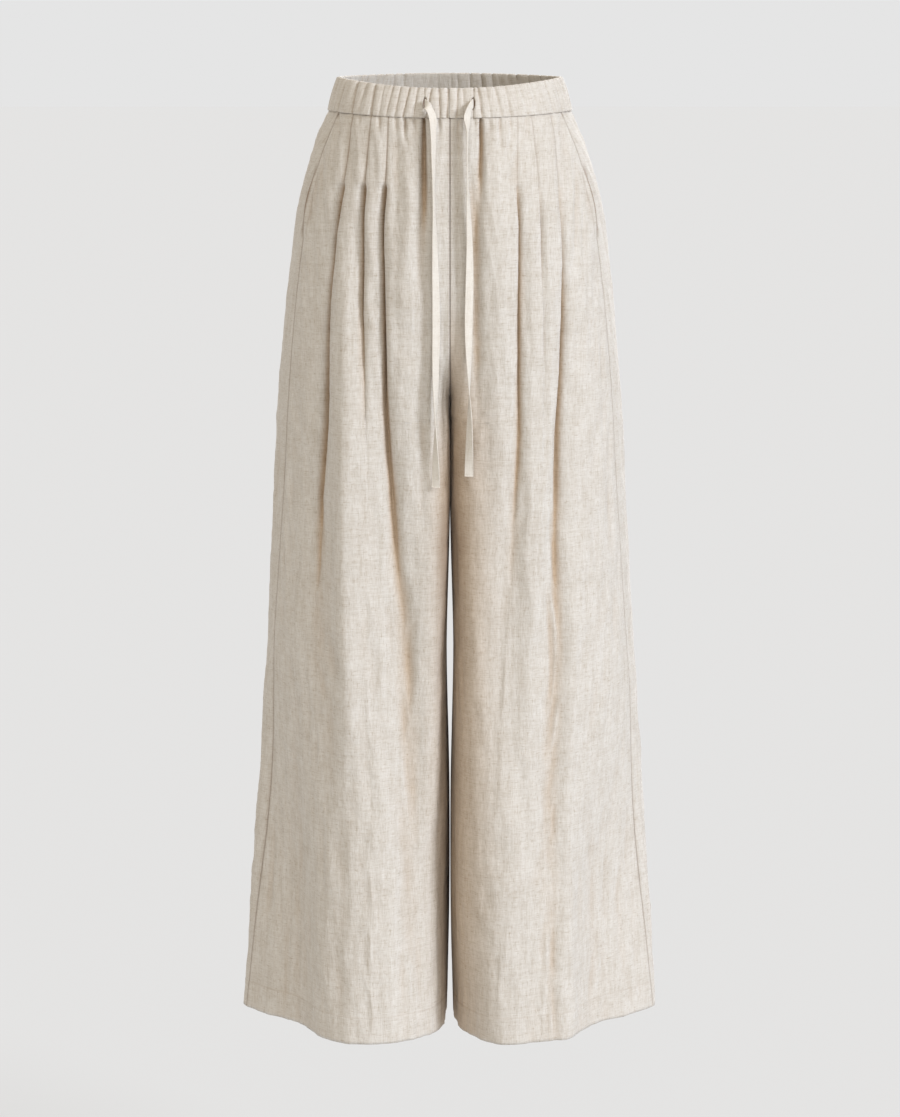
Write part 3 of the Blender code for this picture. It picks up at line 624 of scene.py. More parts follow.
# ---- uneven relief
def lattice_noise(seed, x, y):
    """Smooth noise between about -1 and 1, on a lattice of unit cells."""
    chance = np.random.default_rng(seed)
    order = chance.permutation(LATTICE_CELLS)
    angles = chance.uniform(0.0, 2.0 * math.pi, LATTICE_CELLS)
    cell_x = np.floor(x).astype(int)
    cell_y = np.floor(y).astype(int)
    total = np.zeros_like(x)
    for step_x in (0, 1):
        for step_y in (0, 1):
            off_x = x - cell_x - step_x
            off_y = y - cell_y - step_y
            mixed = order[(cell_x + step_x) % LATTICE_CELLS]
            angle = angles[order[(mixed + cell_y + step_y) % LATTICE_CELLS]]
            slope = np.cos(angle) * off_x + np.sin(angle) * off_y
            fade_x = 1.0 - smoothstep(np.abs(off_x))
            fade_y = 1.0 - smoothstep(np.abs(off_y))
            total += slope * fade_x * fade_y
    return LATTICE_GAIN * total


def crease_relief(seed, across, down):
    """Uneven creases of a washed linen that hangs: long ones down, short ones across."""
    relief = np.zeros_like(across)
    sway = SWAY[2] * lattice_noise(seed, across / SWAY[0], down / SWAY[1])
    for layer, crease in enumerate(named(CREASE_COLUMNS, CREASES), 1):
        noise = lattice_noise(seed + layer, (across + sway) / crease["across"],
                              down / crease["down"])
        if crease["ridged"]:
            noise = 1.0 - RIDGE_SHARPNESS * np.abs(noise)
        patch = lattice_noise(seed + PATCH_SEED + layer, across / PATCHES[0], down / PATCHES[1])
        relief += crease["height"] * noise * PATCHES[2] * (1.0 + patch)
    return relief


# ---- panels
def panel_levels():
    upper = np.linspace(BAND_FOOT - SEAM_GAP, UPPER_END, UPPER_ROWS, endpoint=False)
    hips = np.linspace(UPPER_END, FRONT_FORK, HIP_ROWS, endpoint=False)
    turns = np.sin(np.linspace(0.0, math.pi / 2, FORK_ROWS, endpoint=False))
    legs = np.linspace(CROTCH, HEM, LEG_ROWS)
    hem_rows = HEM + HEM_TURN + np.array(HEM_STOPS)
    fork = FRONT_FORK + (CROTCH - FRONT_FORK) * turns
    return np.sort(np.concatenate((upper, hips, fork, legs, hem_rows)))[::-1]


def spread(stops, strips):
    """Even places between the stops, with the given number of strips in each stretch."""
    places = [stops[0]]
    for start, end, count in zip(stops, stops[1:], strips):
        places += [start + (end - start) * k / count for k in range(1, count + 1)]
    return np.array(places)


def seam_start(height):
    """Half the seam's clearance: along the ring from the crotch down, kept in X above it."""
    return SEAM_GAP / 2 if height < CROTCH + LEVEL_SLACK else 0.0


def seam_to_seam(start, between, end, strips):
    """Places along a panel, with narrow strips beside its seams."""
    stops = [start] + [start + stop for stop in SEAM_STOPS] + between
    stops += [end - stop for stop in reversed(SEAM_STOPS)] + [end]
    return spread(stops, strips)


def front_places(side, height, measure):
    between = [front_place(place + strip, measure)
               for place, _ in tuck_valleys(side, height)
               for strip in (-VALLEY_STRIP, VALLEY_STRIP)]
    end = side_seam_place(height, measure) - SEAM_GAP / 2
    return seam_to_seam(seam_start(height), between, end, FRONT_STRIPS)


def back_places(_side, height, measure):
    ring, length, _, widest = measure
    start = side_seam_place(height, measure) + SEAM_GAP / 2
    crest = section(height)["crest"] * ring[widest, 0]
    crest_place = np.interp(-crest, -ring[widest:, 0], length[widest:])
    end = length[-1] - seam_start(height)
    return seam_to_seam(start, [length[widest], crest_place], end, BACK_STRIPS)


def back_gathers(side):
    """Creases below the waistband's back: running length from the back seam, run and depth."""
    chance = np.random.default_rng(GATHER_SEED + (1 if side == "left" else 2))
    rows = []
    place = chance.uniform(*BACK_GATHER_PITCH)
    while place < BACK_GATHER_END:
        rows.append((place, chance.uniform(*BACK_GATHER_RUN), chance.uniform(*BACK_GATHER_DEPTH)))
        place += chance.uniform(*BACK_GATHER_PITCH)
    return rows


def gather_dent(face, off, down, run, depth):
    """A crease that is deepest just under the waistband and dies away, growing wider."""
    started = GATHER_START + (1.0 - GATHER_START) * smoothstep(down / GATHER_FADE)
    left = started * (1.0 - smoothstep(down / run))
    width = GATHER_WIDTH[face] + GATHER_SPREAD * down
    return -GATHER_PULL[face] * depth * left * np.exp(-(off / width) ** 2)


def gather_relief(side, face, height, across, from_back):
    """All the small creases that hang from the waistband's gathers."""
    relief = np.zeros_like(across)
    down = BAND_FOOT - height
    if face == "front":
        for gather in named(GATHER_COLUMNS, FRONT_GATHERS):
            if gather["across"] * SIDES[side] > 0.0 and down < gather["run"]:
                off = across - GATHER_EASE * abs(gather["across"])
                relief += gather_dent(face, off, down, gather["run"], gather["depth"])
    else:
        for place, run, depth in back_gathers(side):
            if down < run:
                relief += gather_dent(face, from_back - place, down, run, depth)
    return relief


def dark_lines(side, height, across, ahead, from_sewing, from_side_seam):
    """Painted shade along the seams, in the pocket mouth, at the edge between the legs, along the
    tucks' stitching and along the hem's line.
    """
    edge = at_height(height, EDGE_COLUMNS, EDGES)["tone"] * ahead
    lines = [
        SEAM_TONE[side] * np.clip(1.0 - from_sewing / SEAM_LINE, 0.0, 1.0),
        mouth_shade(height, from_side_seam),
        edge * np.exp(-(across / EDGE_REACH[side]) ** 2),
        tuck_line(side, height, across) * ahead,
    ]
    if abs(height - HEM - HEM_TURN) < HEM_LINE:
        lines.append(np.full_like(across, HEM_TONE))
    return np.max(lines, axis=0)


def cloth_grid(side, face, heights, place_function, inset=0.0, seams=True):
    """Outer points, grain coordinates and shades of a piece of cloth."""
    points, grain, reliefs, marks, painted_line_shades = [], [], [], [], []
    seed = CREASE_SEEDS[f"{side}_{face}"]
    centre = 0 if face == "front" else -1
    for height in heights:
        measure = ring_measure(height, side)
        ring, length, normal, widest = measure
        places = place_function(side, height, measure)
        flat = at_length(places, length, ring)
        out = at_length(places, length, normal)
        across = flat[:, 0]
        from_centre = np.minimum(places, length[-1] - places)
        from_widest = np.abs(places - length[widest])
        calm = smoothstep(from_centre / SEAM_CALM) * smoothstep(from_widest / SIDE_CALM)
        ahead = places < length[widest]
        front = fold_relief(side, "front", height, across) + tuck_relief(side, height, across)
        relief = np.where(ahead, front, fold_relief(side, "back", height, across)) * calm
        relief += gather_relief(side, face, height, across, length[-1] - places) * calm
        seam = side_seam_place(height, measure)
        from_seam = np.minimum(np.abs(places - seam), from_centre)
        edge_calm = smoothstep(from_seam / CREASE_CALM)
        top_calm = smoothstep((BAND_FOOT - height) / CREASE_CALM)
        run = places - middle_place(face, measure)
        if seams:
            creases = crease_relief(seed, run, np.full_like(run, -height))
            relief += creases * edge_calm * top_calm
        if seams and face == "front":
            relief += mouth_relief(height, seam - places)
        if height < HEM + HEM_TURN:
            relief += HEM_RIDGE
        if seams:
            groove = np.clip(1.0 - from_seam / SEAM_REACH, 0.0, 1.0)
            relief -= SEAM_DEPTH * groove ** 2
            relief[[0, -1]] -= SEAM_FIN
        slide = tuck_overhang(side, height, across) * calm * ahead
        tangent = np.column_stack((-out[:, 1], out[:, 0]))
        level = flat + out * (relief - inset)[:, None] + tangent * slide[:, None]
        level[:, 0] = np.maximum(level[:, 0], ring[:, 0].min())
        if seams and height > CROTCH + LEVEL_SLACK:
            ahead_of_plane = abs(flat[centre, 1])
            kept = 1.0 - min(SEAM_FIN / ahead_of_plane, 1.0)
            level[centre] = (ring[:, 0].min(), flat[centre, 1] * kept)
        points.append(np.column_stack((level, lifted(height, level))))
        grain.append(np.column_stack((run, np.full_like(run, height))))
        reliefs.append(relief)
        # Painted shade along the inseam, and along seams, openings, edges and lines
        opened = float(down_table(height, *INSEAM_STARTS[side]))
        reach = INSEAM_REACH[side] * (INSEAM_NARROW + (1.0 - INSEAM_NARROW) * opened)
        marks.append(opened * np.exp(-(across / reach) ** 2))
        from_sewing = from_seam if height > CROTCH else np.abs(places - seam)
        painted_line_shades.append(dark_lines(side, height, across, ahead, from_sewing, places - seam))
    points = np.array(points)
    points[..., 0] *= SIDES[side]
    grain = np.array(grain)
    painted_hollow_shade = shade_painted_in_hollows(np.array(reliefs), grain[..., 0], marks)
    return points, grain, {"painted_hollow_shade": painted_hollow_shade, "painted_line_shade": np.array(painted_line_shades)}


def grid_normals(points, side):
    """Outward normals of a grid of points."""
    down = np.gradient(points, axis=0)
    along = np.gradient(points, axis=1)
    normal = np.cross(down, along) * SIDES[side]
    return normal / np.linalg.norm(normal, axis=2)[..., None]


def shade_painted_in_hollows(reliefs, places, marks):
    """Painted shade: 0 on open cloth to 1 deep between folds, and at least what is marked."""
    shares = np.empty_like(reliefs)
    steps = np.arange(-HOLLOW_CELLS, HOLLOW_CELLS + 1) * HOLLOW_STEP
    kernel = np.exp(-0.5 * (steps / HOLLOW_REACH) ** 2)
    for row, (relief, place, mark) in enumerate(zip(reliefs, places, marks)):
        even = np.arange(place[0], place[-1], HOLLOW_STEP)
        padded = np.pad(np.interp(even, place, relief), HOLLOW_CELLS, mode="edge")
        around = np.convolve(padded, kernel / kernel.sum(), "valid")
        below = np.interp(place, even, around) - relief
        shares[row] = np.maximum(np.clip(below / HOLLOW_DEPTH, 0.0, 1.0) ** HOLLOW_POWER, mark)
    return shares


def grid_faces(index):
    """The faces between neighbours in a grid of point numbers."""
    corners = (index[:-1, :-1], index[1:, :-1], index[1:, 1:], index[:-1, 1:])
    return np.stack(corners, -1).reshape(-1, 4)


def add_object(name, data):
    made = bpy.data.objects.new(name, data)
    bpy.context.scene.collection.objects.link(made)
    return made


def add_piece(name, points, faces, grain, material, shades=None):
    """One mesh in the scene. Its grain is a UV map and its shades are attributes.

    Grain and shades that are given for a shell's outer points alone repeat for its inner ones.
    """
    mesh = bpy.data.meshes.new(name)
    mesh.from_pydata(points.tolist(), [], faces)
    layer = mesh.uv_layers.new(name="grain")
    corners = np.empty(len(mesh.loops), int)
    mesh.loops.foreach_get("vertex_index", corners)
    layer.data.foreach_set("uv", np.resize(grain, (len(points), 2))[corners].ravel())
    for shade, values in (shades or {}).items():
        attribute = mesh.attributes.new(shade, "FLOAT", "POINT")
        attribute.data.foreach_set("value", np.resize(values, len(points)))
    mesh.materials.append(material)
    mesh.shade_smooth()
    mesh.update()
    return add_object(name, mesh)


def shell_piece(name, side, outer, inner, grain, material, shades):
    """A closed thin shell between two grids of points."""
    index = np.arange(outer[..., 0].size).reshape(outer.shape[:2])
    shift = index.size
    first = grid_faces(index)
    faces = [first, first[:, ::-1] + shift]
    for line in (index[0][::-1], index[-1], index[:, 0], index[:, -1][::-1]):
        faces.append(np.stack((line[:-1], line[:-1] + shift, line[1:] + shift, line[1:]), -1))
    faces = np.concatenate(faces)
    if side == "right":
        faces = faces[:, ::-1]
    points = np.concatenate((outer, inner)).reshape(-1, 3)
    return add_piece(name, points, faces.tolist(), grain, material, shades)


def shell_walls(heights):
    """Thickness of the shell at each level: the hem is turned up inside."""
    turned = smoothstep((HEM + HEM_TURN - heights) / HEM_STEP)
    return LINEN + (HEM_WALL - LINEN) * turned


def make_panel(side, face, material):
    heights = panel_levels()
    places = front_places if face == "front" else back_places
    outer, grain, shades = cloth_grid(side, face, heights, places)
    inner = outer - grid_normals(outer, side) * shell_walls(heights)[:, None, None]
    inner[..., 0] = SIDES[side] * np.maximum(inner[..., 0] * SIDES[side], SEAM_GAP / 4)
    panel = shell_piece(f"{side}_{face}_cloth", side, outer, inner, grain, material, shades)
    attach(panel, "root")
    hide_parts(f"{side}_{face}")
    return panel


# ---- waistband
def band_ring(height):
    """The full ring round the waist, from the front centre over the left side."""
    ring, _ = half_ring(height)
    ring[:, 0] -= ring[:, 0].min()
    whole = np.vstack((ring, ring[::-1][1:-1] * (-1.0, 1.0), ring[:1]))
    steps = np.hypot(*np.diff(whole, axis=0).T)
    return whole, np.concatenate(([0.0], np.cumsum(steps)))


def gather_marks():
    """Shares of the band's round at which a gather pinches it, with each one's strength."""
    measure = ring_measure(0.0)
    whole = 2.0 * measure[1][-1]
    marks = []
    for gather in named(GATHER_COLUMNS, FRONT_GATHERS):
        place = front_place(abs(gather["across"]), measure)
        if gather["across"] < 0.0:
            place = whole - place
        marks.append((place / whole, gather["strength"]))
    marks.sort()
    shares = [share for share, _ in marks]
    start = max(share for share in shares if share < 0.5)
    end = min(share for share in shares if share > 0.5)
    chance = np.random.default_rng(GATHER_SEED)
    share = start + chance.uniform(*GATHER_PITCH) / whole
    while share < end - GATHER_PITCH[0] / whole:
        marks.append((share, chance.uniform(*GATHER_STRENGTHS)))
        share += chance.uniform(*GATHER_PITCH) / whole
    return sorted(marks), whole


def pleat_relief(shares, marks, whole, lean):
    """Round pleats between pinched gathers. lean is how far each gather can slide aside."""
    places, strengths = np.array(marks).T
    chance = np.random.default_rng(LEAN_SEED)
    places = places + lean * chance.uniform(-1.0, 1.0, len(places)) / whole
    tripled = np.concatenate((places - 1.0, places, places + 1.0))
    strong = np.tile(strengths, 3)
    after = np.searchsorted(tripled, shares)
    before = after - 1
    width = (tripled[after] - tripled[before]) * whole
    t = (shares - tripled[before]) * whole / width
    rise = np.minimum(PLEAT_RISE, PLEAT_SHARE * width)
    crown = rise * (np.clip(4.0 * t * (1.0 - t), 0.0, 1.0) ** PLEAT_POWER - 0.5)
    valley = (strong[before] * np.exp(-t * width / VALLEY_REACH)
              + strong[after] * np.exp(-(1.0 - t) * width / VALLEY_REACH))
    return crown * (strong[before] + strong[after]) / 2 - VALLEY_DEPTH * valley


def slit_place(side):
    """Where the middle of a tape's slit is, on the plain front of the band."""
    across = named(TAPE_COLUMNS, TAPES[side])[0]["across"] + SIDES[side] * SLIT_OFFSET
    return across, -section(SLIT_LEVEL)["front"], SLIT_LEVEL


def band_profile():
    """The band's section from its foot up the outside, over the top and down the inside.

    Each row is a height, a distance out from the plain form and the gathers' share.
    """
    straight = BAND_TOP - BAND_ROLL - BAND_FOOT
    rows = []
    for t in [*FOOT_SHARES[:-1], *np.linspace(FOOT_SHARES[-1], 1.0, BAND_ROWS)]:
        tuck_in = BAND_TUCK * (1.0 - smoothstep(t / BAND_TUCK_SHARE))
        bulge = BAND_BULGE * math.sin(math.pi * t)
        rows.append((BAND_FOOT + straight * t, BAND_PROUD + bulge - tuck_in, 1.0))
    for turn in np.linspace(0.0, math.pi, ROLL_ROWS)[1:-1]:
        share = (1.0 - math.cos(turn)) / 2
        rows.append((BAND_TOP - BAND_ROLL * (1.0 - math.sin(turn)),
                     BAND_PROUD - BAND_WALL * share, 1.0 + (INNER_GATHERS - 1.0) * share))
    for t in np.linspace(1.0, 0.0, INNER_BAND_ROWS):
        bulge = INNER_BULGE * math.sin(math.pi * t)
        rows.append((BAND_FOOT + straight * t, BAND_PROUD - BAND_WALL - bulge, INNER_GATHERS))
    return rows


def band_shares(whole):
    """Even columns round the band, with narrow ones at the two slits."""
    even = np.arange(BAND_COLUMNS) / BAND_COLUMNS
    measure = ring_measure(0.0)
    extra = []
    beside = np.linspace(-SLIT_REACH, SLIT_REACH, SLIT_COLUMNS)
    for side, sign in SIDES.items():
        place = sign * front_place(abs(slit_place(side)[0]), measure)
        extra.append(((place + beside) / whole) % 1.0)
    return np.unique(np.round(np.concatenate([even] + extra), 7))


def slit_share(points, heights):
    """1 in the upright openings where the tapes come out, 0 elsewhere."""
    sunk = np.zeros(len(points))
    for side in SIDES:
        across, _, level = slit_place(side)
        along = np.clip((heights - level) / (SLIT_HEIGHT / 2), -1.0, 1.0)
        half = SLIT_WIDTH / 2 * np.sqrt(1.0 - along * along)
        from_edge = half + SLIT_EDGE - np.abs(points[:, 0] - across)
        inside = smoothstep(from_edge / (2.0 * SLIT_EDGE))
        sunk = np.maximum(sunk, inside * (np.abs(along) < 1.0) * (points[:, 1] < 0))
    return sunk


def make_band(material):
    marks, whole_length = gather_marks()
    shares = band_shares(whole_length)
    rows, grain, painted_hollow_shade, painted_line_shade = [], [], [], []
    for height, offset, gathered in band_profile():
        whole, length = band_ring(height)
        flat = at_length(shares * length[-1], length, whole)
        lift = lifted(height, flat)
        up = (height - BAND_FOOT) / (BAND_TOP - BAND_FOOT)
        pleats = pleat_relief(shares, marks, whole_length, PLEAT_LEAN * (up - 0.5))
        fine = lattice_noise(CREASE_SEEDS["waistband"], shares * whole_length / BAND_CELLS[0],
                             np.full_like(shares, up / BAND_CELLS[1]))
        slit = slit_share(flat, lift) * (gathered == 1.0)
        relief = pleats * gathered + BAND_FINE * fine - SLIT_DEPTH * slit
        level = flat + round_normals(flat) * (offset + relief)[:, None]
        nick = BAND_NICK * (up > NICK_START) * np.clip(-pleats / VALLEY_DEPTH, 0.0, 1.0)
        rows.append(np.column_stack((level, lift - nick)))
        # Painted shade in the gathers' pinches, along the foot seam and in the tapes' slits
        pinch = np.clip(-pleats * abs(gathered) / VALLEY_DEPTH, 0.0, 1.0)
        painted_hollow_shade.append(BAND_HOLLOW * pinch ** 2)
        painted_line_shade.append(np.maximum(BAND_LINE * (height == BAND_FOOT), slit))
        grain.append(np.column_stack((shares * whole_length, np.full_like(shares, height))))
    index = np.arange(len(rows) * len(shares)).reshape(len(rows), len(shares))
    faces = grid_faces(np.pad(index, (0, 1), "wrap"))[:, TURNED]
    made = add_piece("waistband_cloth", np.array(rows).reshape(-1, 3), faces.tolist(), grain,
                     material, {"painted_hollow_shade": painted_hollow_shade, "painted_line_shade": painted_line_shade})
    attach(made, "root")
    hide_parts("waistband")
    return made


# ---- pocket facings
def facing_places(_side, height, measure):
    seam = side_seam_place(height, measure)
    return np.linspace(seam - FACING_FORWARD, seam + FACING_BACKWARD, FACING_GRID[1])


def make_facing(side, material):
    heights = np.linspace(FACING_TOP, FACING_END, FACING_GRID[0])
    outer, grain, shades = cloth_grid(side, "front", heights, facing_places, FACING_INSET,
                                      seams=False)
    inner = outer - grid_normals(outer, side) * LINEN
    facing = shell_piece(f"{side}_pocket_strip", side, outer, inner, grain, material, shades)
    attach(facing, "root")
    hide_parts(f"{side}_pocket_facing")
    return facing


# ---- drawstring
def tape_centre(height, across, turn):
    """The tape's middle at a level: an edge-on tape stands further off the cloth."""
    front = section(max(height, TAPE_FALL))["front"]
    standoff = TAPE_CLEARANCE + TAPE_WIDTH / 2 * abs(math.sin(math.radians(turn)))
    return across, -front - standoff, height


def tape_route(side, strips):
    """The tape's centre line from inside its slit to its free end, its turn and its lean."""
    across, depth, level = slit_place(side)
    points = [(across, depth + root, level) for root in TAPE_ROOTS]
    tape = named(TAPE_COLUMNS, TAPES[side])
    points += [tape_centre(**row) for row in tape]
    turns = [-SIDES[side] * TAPE_ROOT_TURN] * len(TAPE_ROOTS) + [row["turn"] for row in tape]
    leans = list(TAPE_LEANS) + [0.0] * (len(points) - len(TAPE_LEANS))
    spans = [math.dist(start, end) for start, end in zip(points, points[1:])]
    places = np.concatenate(([0.0], np.cumsum(spans)))
    steps = np.linspace(0.0, places[-1], strips + 1)
    route = np.column_stack([hermite(steps, places, axis) for axis in zip(*points)])
    return route, np.radians(hermite(steps, places, turns)), hermite(steps, places, leans), steps


def make_tape(side, material):
    route, turns, leans, steps = tape_route(side, TAPE_STRIPS)
    lower = [(wide, -thick) for wide, thick in reversed(TAPE_SECTION[1:-1])]
    outline = [*TAPE_SECTION, *lower]
    tangents = np.gradient(route, axis=0)
    tangents /= np.linalg.norm(tangents, axis=1)[:, None]
    points, grain = [], []
    for point, turn, lean, along, tangent in zip(route, turns, leans, steps, tangents):
        level = np.array((math.cos(turn), math.sin(turn), 0.0))
        across = level * (1.0 - lean) + np.array((0.0, 0.0, 1.0)) * lean
        across -= tangent * np.dot(across, tangent)
        across /= np.linalg.norm(across)
        normal = np.cross(across, tangent)
        for wide, thick in outline:
            points.append(point + across * wide * TAPE_WIDTH / 2 + normal * thick * TAPE_HALF_WALL)
            grain.append((wide * TAPE_WIDTH / 2, along))
    count = len(outline)
    index = np.arange(len(points)).reshape(-1, count)
    faces = grid_faces(np.pad(index, ((0, 0), (0, 1)), "wrap"))[:, TURNED].tolist()
    faces += [index[0].tolist(), index[-1][::-1].tolist()]
    made = add_piece(f"{side}_tape", np.array(points), faces, grain, material)
    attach(made, "root")
    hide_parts(f"{side}_drawstring")
    return made


# ---- materials
LINEN_LIGHT = (0.598, 0.585, 0.562, 1.0)   # pale threads and darker ones
LINEN_DARK = (0.34, 0.290, 0.229, 1.0)
TAPE_LIGHT = (0.66, 0.640, 0.600, 1.0)
TAPE_DARK = (0.44, 0.38, 0.31, 1.0)
TAPE_SLUB = 0.7            # how much of the cloth's unevenness the tape has
PAINTED_RECESS_SHADE = (0.78, 0.635, 0.495, 1.0)    # painted shade: multiplies the colour in hollows, darker and warmer
SEAM_SHADE = (0.20, 0.135, 0.09, 1.0)      # painted shade: linen in the depth of a seam, also used in openings, along lines and at the edges between the legs
CLOTH_SURFACE = {"Roughness": 0.88, "Specular IOR Level": 0.25, "Sheen Weight": 0.12,
                 "Sheen Roughness": 0.5}
WEAVE_COLUMNS = ("across", "down", "seed", "detail", "from", "to", "tone", "height")
WEAVE = (                  # cells for a metre each way, range read, tone and relief in metres
    (110.0, 900.0, 3.1, 4.0, 0.42, 0.66, 0.20, 0.00016),
    (900.0, 90.0, 7.7, 4.0, 0.42, 0.66, 0.20, 0.00016),
    (230.0, 16.0, 13.9, 3.0, 0.42, 0.64, 0.12, 0.00014),
    (22.0, 260.0, 19.3, 3.0, 0.42, 0.64, 0.09, 0.00008),
    (170.0, 820.0, 29.9, 1.0, 0.62, 0.74, 0.36, 0.0),
    (820.0, 150.0, 37.3, 1.0, 0.62, 0.74, 0.32, 0.0),
    (60.0, 36.0, 43.1, 4.0, 0.38, 0.66, 0.12, 0.0),
    (190.0, 62.0, 53.7, 3.0, 0.30, 0.70, 0.0, 0.00090),
)
SEED_SLANT = 0.37          # each layer is read from its own place, this much further down


def add_node(tree, kind, inputs=None, **settings):
    node = tree.nodes.new(kind)
    for name, value in settings.items():
        setattr(node, name, value)
    for key, value in (inputs or {}).items():
        if isinstance(value, bpy.types.NodeSocket):
            tree.links.new(value, node.inputs[key])
        else:
            node.inputs[key].default_value = value
    return node


def thread_noise(tree, grain, scale, detail, seed):
    """Noise drawn out along one run of threads."""
    mapped = add_node(tree, "ShaderNodeMapping", {"Vector": grain, "Scale": (*scale, 1.0),
                                                  "Location": (seed, seed * SEED_SLANT, 0.0)})
    noise = add_node(tree, "ShaderNodeTexNoise", {"Vector": mapped.outputs["Vector"],
                                                  "Scale": 1.0, "Detail": detail})
    return noise.outputs["Fac"]


def scaled(tree, value, low, high, to_low=0.0, to_high=1.0):
    node = add_node(tree, "ShaderNodeMapRange", {"Value": value, "From Min": low,
                                                 "From Max": high, "To Min": to_low,
                                                 "To Max": to_high})
    return node.outputs["Result"]


def combined(tree, operation, *values):
    inputs = dict(enumerate(values))
    return add_node(tree, "ShaderNodeMath", inputs, operation=operation).outputs["Value"]


def blended(tree, factor, first, second, blend="MIX"):
    """Two colours blended by a factor. Each can be a socket or a plain colour."""
    node = add_node(tree, "ShaderNodeMix", {"Factor": factor}, data_type="RGBA",
                    blend_type=blend)
    colours = [item for item in node.inputs if item.type == "RGBA"]
    for socket, value in zip(colours, (first, second)):
        if isinstance(value, bpy.types.NodeSocket):
            tree.links.new(value, socket)
        else:
            socket.default_value = value
    return [item for item in node.outputs if item.type == "RGBA"][0]


def linen_material(name, light, dark, slub=1.0):
    """Plain-woven linen: slubbed threads both ways, brown flecks, with warm shade painted in
    hollows and dark shade painted along seams, lines and openings.
    """
    material = bpy.data.materials.new(name)
    material.use_nodes = True
    tree = material.node_tree
    shader = tree.nodes["Principled BSDF"]
    grain = add_node(tree, "ShaderNodeUVMap", uv_map="grain").outputs["UV"]
    tone = 0.0
    height = 0.0
    for layer in named(WEAVE_COLUMNS, WEAVE):
        noise = thread_noise(tree, grain, (layer["across"], layer["down"]), layer["detail"],
                             layer["seed"])
        if layer["tone"] > 0.0:
            tone = combined(tree, "ADD", tone, scaled(tree, noise, layer["from"], layer["to"],
                                                      0.0, layer["tone"] * slub))
        if layer["height"] > 0.0:
            height = combined(tree, "MULTIPLY_ADD", noise, layer["height"], height)
    # Painted shade: warmer and darker in hollows, dark along seams, lines and openings
    painted_hollow_shade = add_node(tree, "ShaderNodeAttribute", attribute_name="painted_hollow_shade").outputs["Fac"]
    woven = blended(tree, tone, light, dark)
    shaded = blended(tree, painted_hollow_shade, woven, PAINTED_RECESS_SHADE, "MULTIPLY")
    painted_line_shade = add_node(tree, "ShaderNodeAttribute", attribute_name="painted_line_shade").outputs["Fac"]
    tree.links.new(blended(tree, painted_line_shade, shaded, SEAM_SHADE), shader.inputs["Base Color"])
    for socket, value in CLOTH_SURFACE.items():
        shader.inputs[socket].default_value = value
    bump = add_node(tree, "ShaderNodeBump", {"Height": height, "Strength": 1.0,
                                             "Distance": 1.0})
    tree.links.new(bump.outputs["Normal"], shader.inputs["Normal"])
    return material


# ---- stage
CAMERA_PITCH = 11.0
CAMERA_PLACE = (0.0, -2.8418, 0.0494)
LENS = 85.0
SENSOR_WIDTH = 36.0
FLOOR_LEVEL = -1.35
FLOOR_REACH = 60.0
FLOOR_SURFACE = {"Base Color": (0.10, 0.10, 0.10, 1.0), "Roughness": 1.0,
                 "Specular IOR Level": 0.0, "Emission Color": (1.0, 1.0, 1.0, 1.0),
                 "Emission Strength": 0.635}
WALL_GLOW = (0.783, 0.783, 0.783, 1.0)     # the studio as it is seen
LEFT_GLOW = (0.81, 0.695, 0.535, 1.0)      # as it lights the garment from the viewer's left
RIGHT_GLOW = (0.51, 0.455, 0.385, 1.0)     # and from the right
REAR_GLOW = (0.40, 0.355, 0.30, 1.0)       # and from behind it
SIDE_BLEND = (-0.6, 0.6)   # directions between which left turns to right, and front to rear
REAR_BLEND = (-0.2, 0.5)
LAMP_DISTANCE = 5.0
LAMP_COLUMNS = ("name", "azimuth", "height", "energy", "spread_angle", "colour")
LAMPS = (
    ("key", 56.0, 27.0, 2.4, 15.0, (0.96, 1.0, 1.08)),
    ("fill", 4.0, 16.0, 0.9, 60.0, (1.0, 0.94, 0.86)),
    ("back_key", 160.0, 27.0, 2.2, 15.0, (0.97, 1.0, 1.03)),
    ("back_fill", 190.0, 16.0, 1.6, 80.0, (1.0, 0.96, 0.90)),
)


def make_stage():
    corners = [(x * FLOOR_REACH, y * FLOOR_REACH, FLOOR_LEVEL)
               for x, y in ((-1, -1), (1, -1), (1, 1), (-1, 1))]
    floor_mesh = bpy.data.meshes.new("floor")
    floor_mesh.from_pydata(corners, [], [(0, 1, 2, 3)])
    floor = add_object("floor", floor_mesh)
    material = bpy.data.materials.new("floor_paper")
    material.use_nodes = True
    shader = material.node_tree.nodes["Principled BSDF"]
    for socket, value in FLOOR_SURFACE.items():
        shader.inputs[socket].default_value = value
    floor.data.materials.append(material)


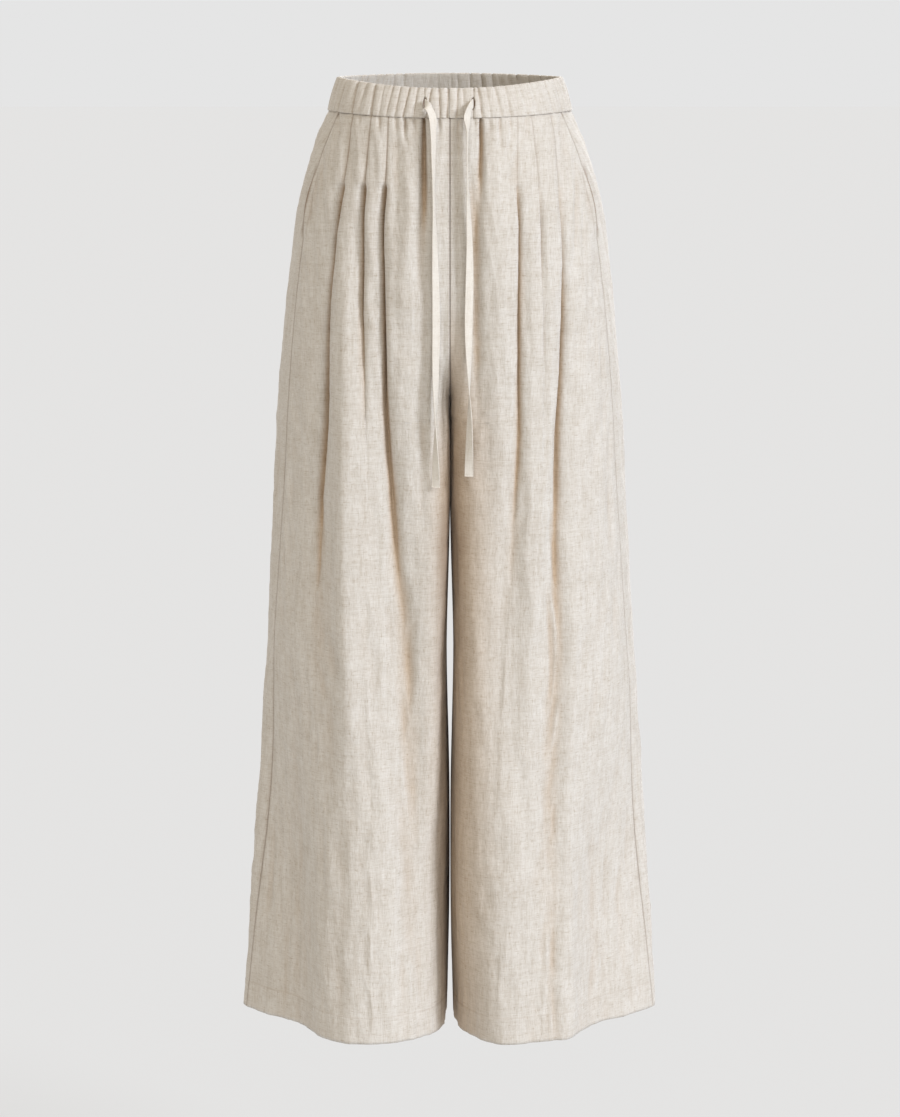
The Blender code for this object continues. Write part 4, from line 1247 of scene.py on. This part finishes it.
def add_sun(name, azimuth, height, energy, spread_angle, colour):
    """A sun that shines from azimuth degrees to the viewer's right of the front."""
    data = bpy.data.lights.new(name, "SUN")
    data.energy = energy
    data.angle = math.radians(spread_angle)
    data.color = colour
    lamp = add_object(name, data)
    turn = math.radians(azimuth)
    rise = math.radians(height)
    towards = Vector((math.sin(turn) * math.cos(rise), -math.cos(turn) * math.cos(rise),
                      math.sin(rise)))
    lamp.rotation_mode = "QUATERNION"
    lamp.rotation_quaternion = towards.to_track_quat("Z", "Y")
    lamp.location = towards * LAMP_DISTANCE


def make_lights():
    world = bpy.data.worlds.new("studio")
    bpy.context.scene.world = world
    world.use_nodes = True
    tree = world.node_tree
    background = tree.nodes["Background"]
    direction = add_node(tree, "ShaderNodeTexCoord").outputs["Generated"]
    parts = add_node(tree, "ShaderNodeSeparateXYZ", {"Vector": direction}).outputs
    room = blended(tree, scaled(tree, parts["X"], *SIDE_BLEND), LEFT_GLOW, RIGHT_GLOW)
    room = blended(tree, scaled(tree, parts["Y"], *REAR_BLEND), room, REAR_GLOW)
    seen = add_node(tree, "ShaderNodeLightPath").outputs["Is Camera Ray"]
    tree.links.new(blended(tree, seen, room, WALL_GLOW), background.inputs["Color"])
    for lamp in named(LAMP_COLUMNS, LAMPS):
        add_sun(**lamp)


def make_camera():
    data = bpy.data.cameras.new("camera")
    data.lens = LENS
    data.sensor_width = SENSOR_WIDTH
    camera = add_object("camera", data)
    camera.location = CAMERA_PLACE
    camera.rotation_euler = (math.radians(90.0 - CAMERA_PITCH), 0.0, 0.0)
    bpy.context.scene.camera = camera
    bpy.context.scene.view_settings.view_transform = "Standard"


# ---- the scene
make_camera()
linen = linen_material("linen_cloth", LINEN_LIGHT, LINEN_DARK)
tape_linen = linen_material("tape_cloth", TAPE_LIGHT, TAPE_DARK, TAPE_SLUB)
for wearer_side in SIDES:
    make_tape(wearer_side, tape_linen)
for wearer_side in SIDES:
    for panel_face in ("front", "back"):
        cloth = make_panel(wearer_side, panel_face, linen)
    strip = make_facing(wearer_side, linen)
waistband = make_band(linen)
make_stage()
make_lights()
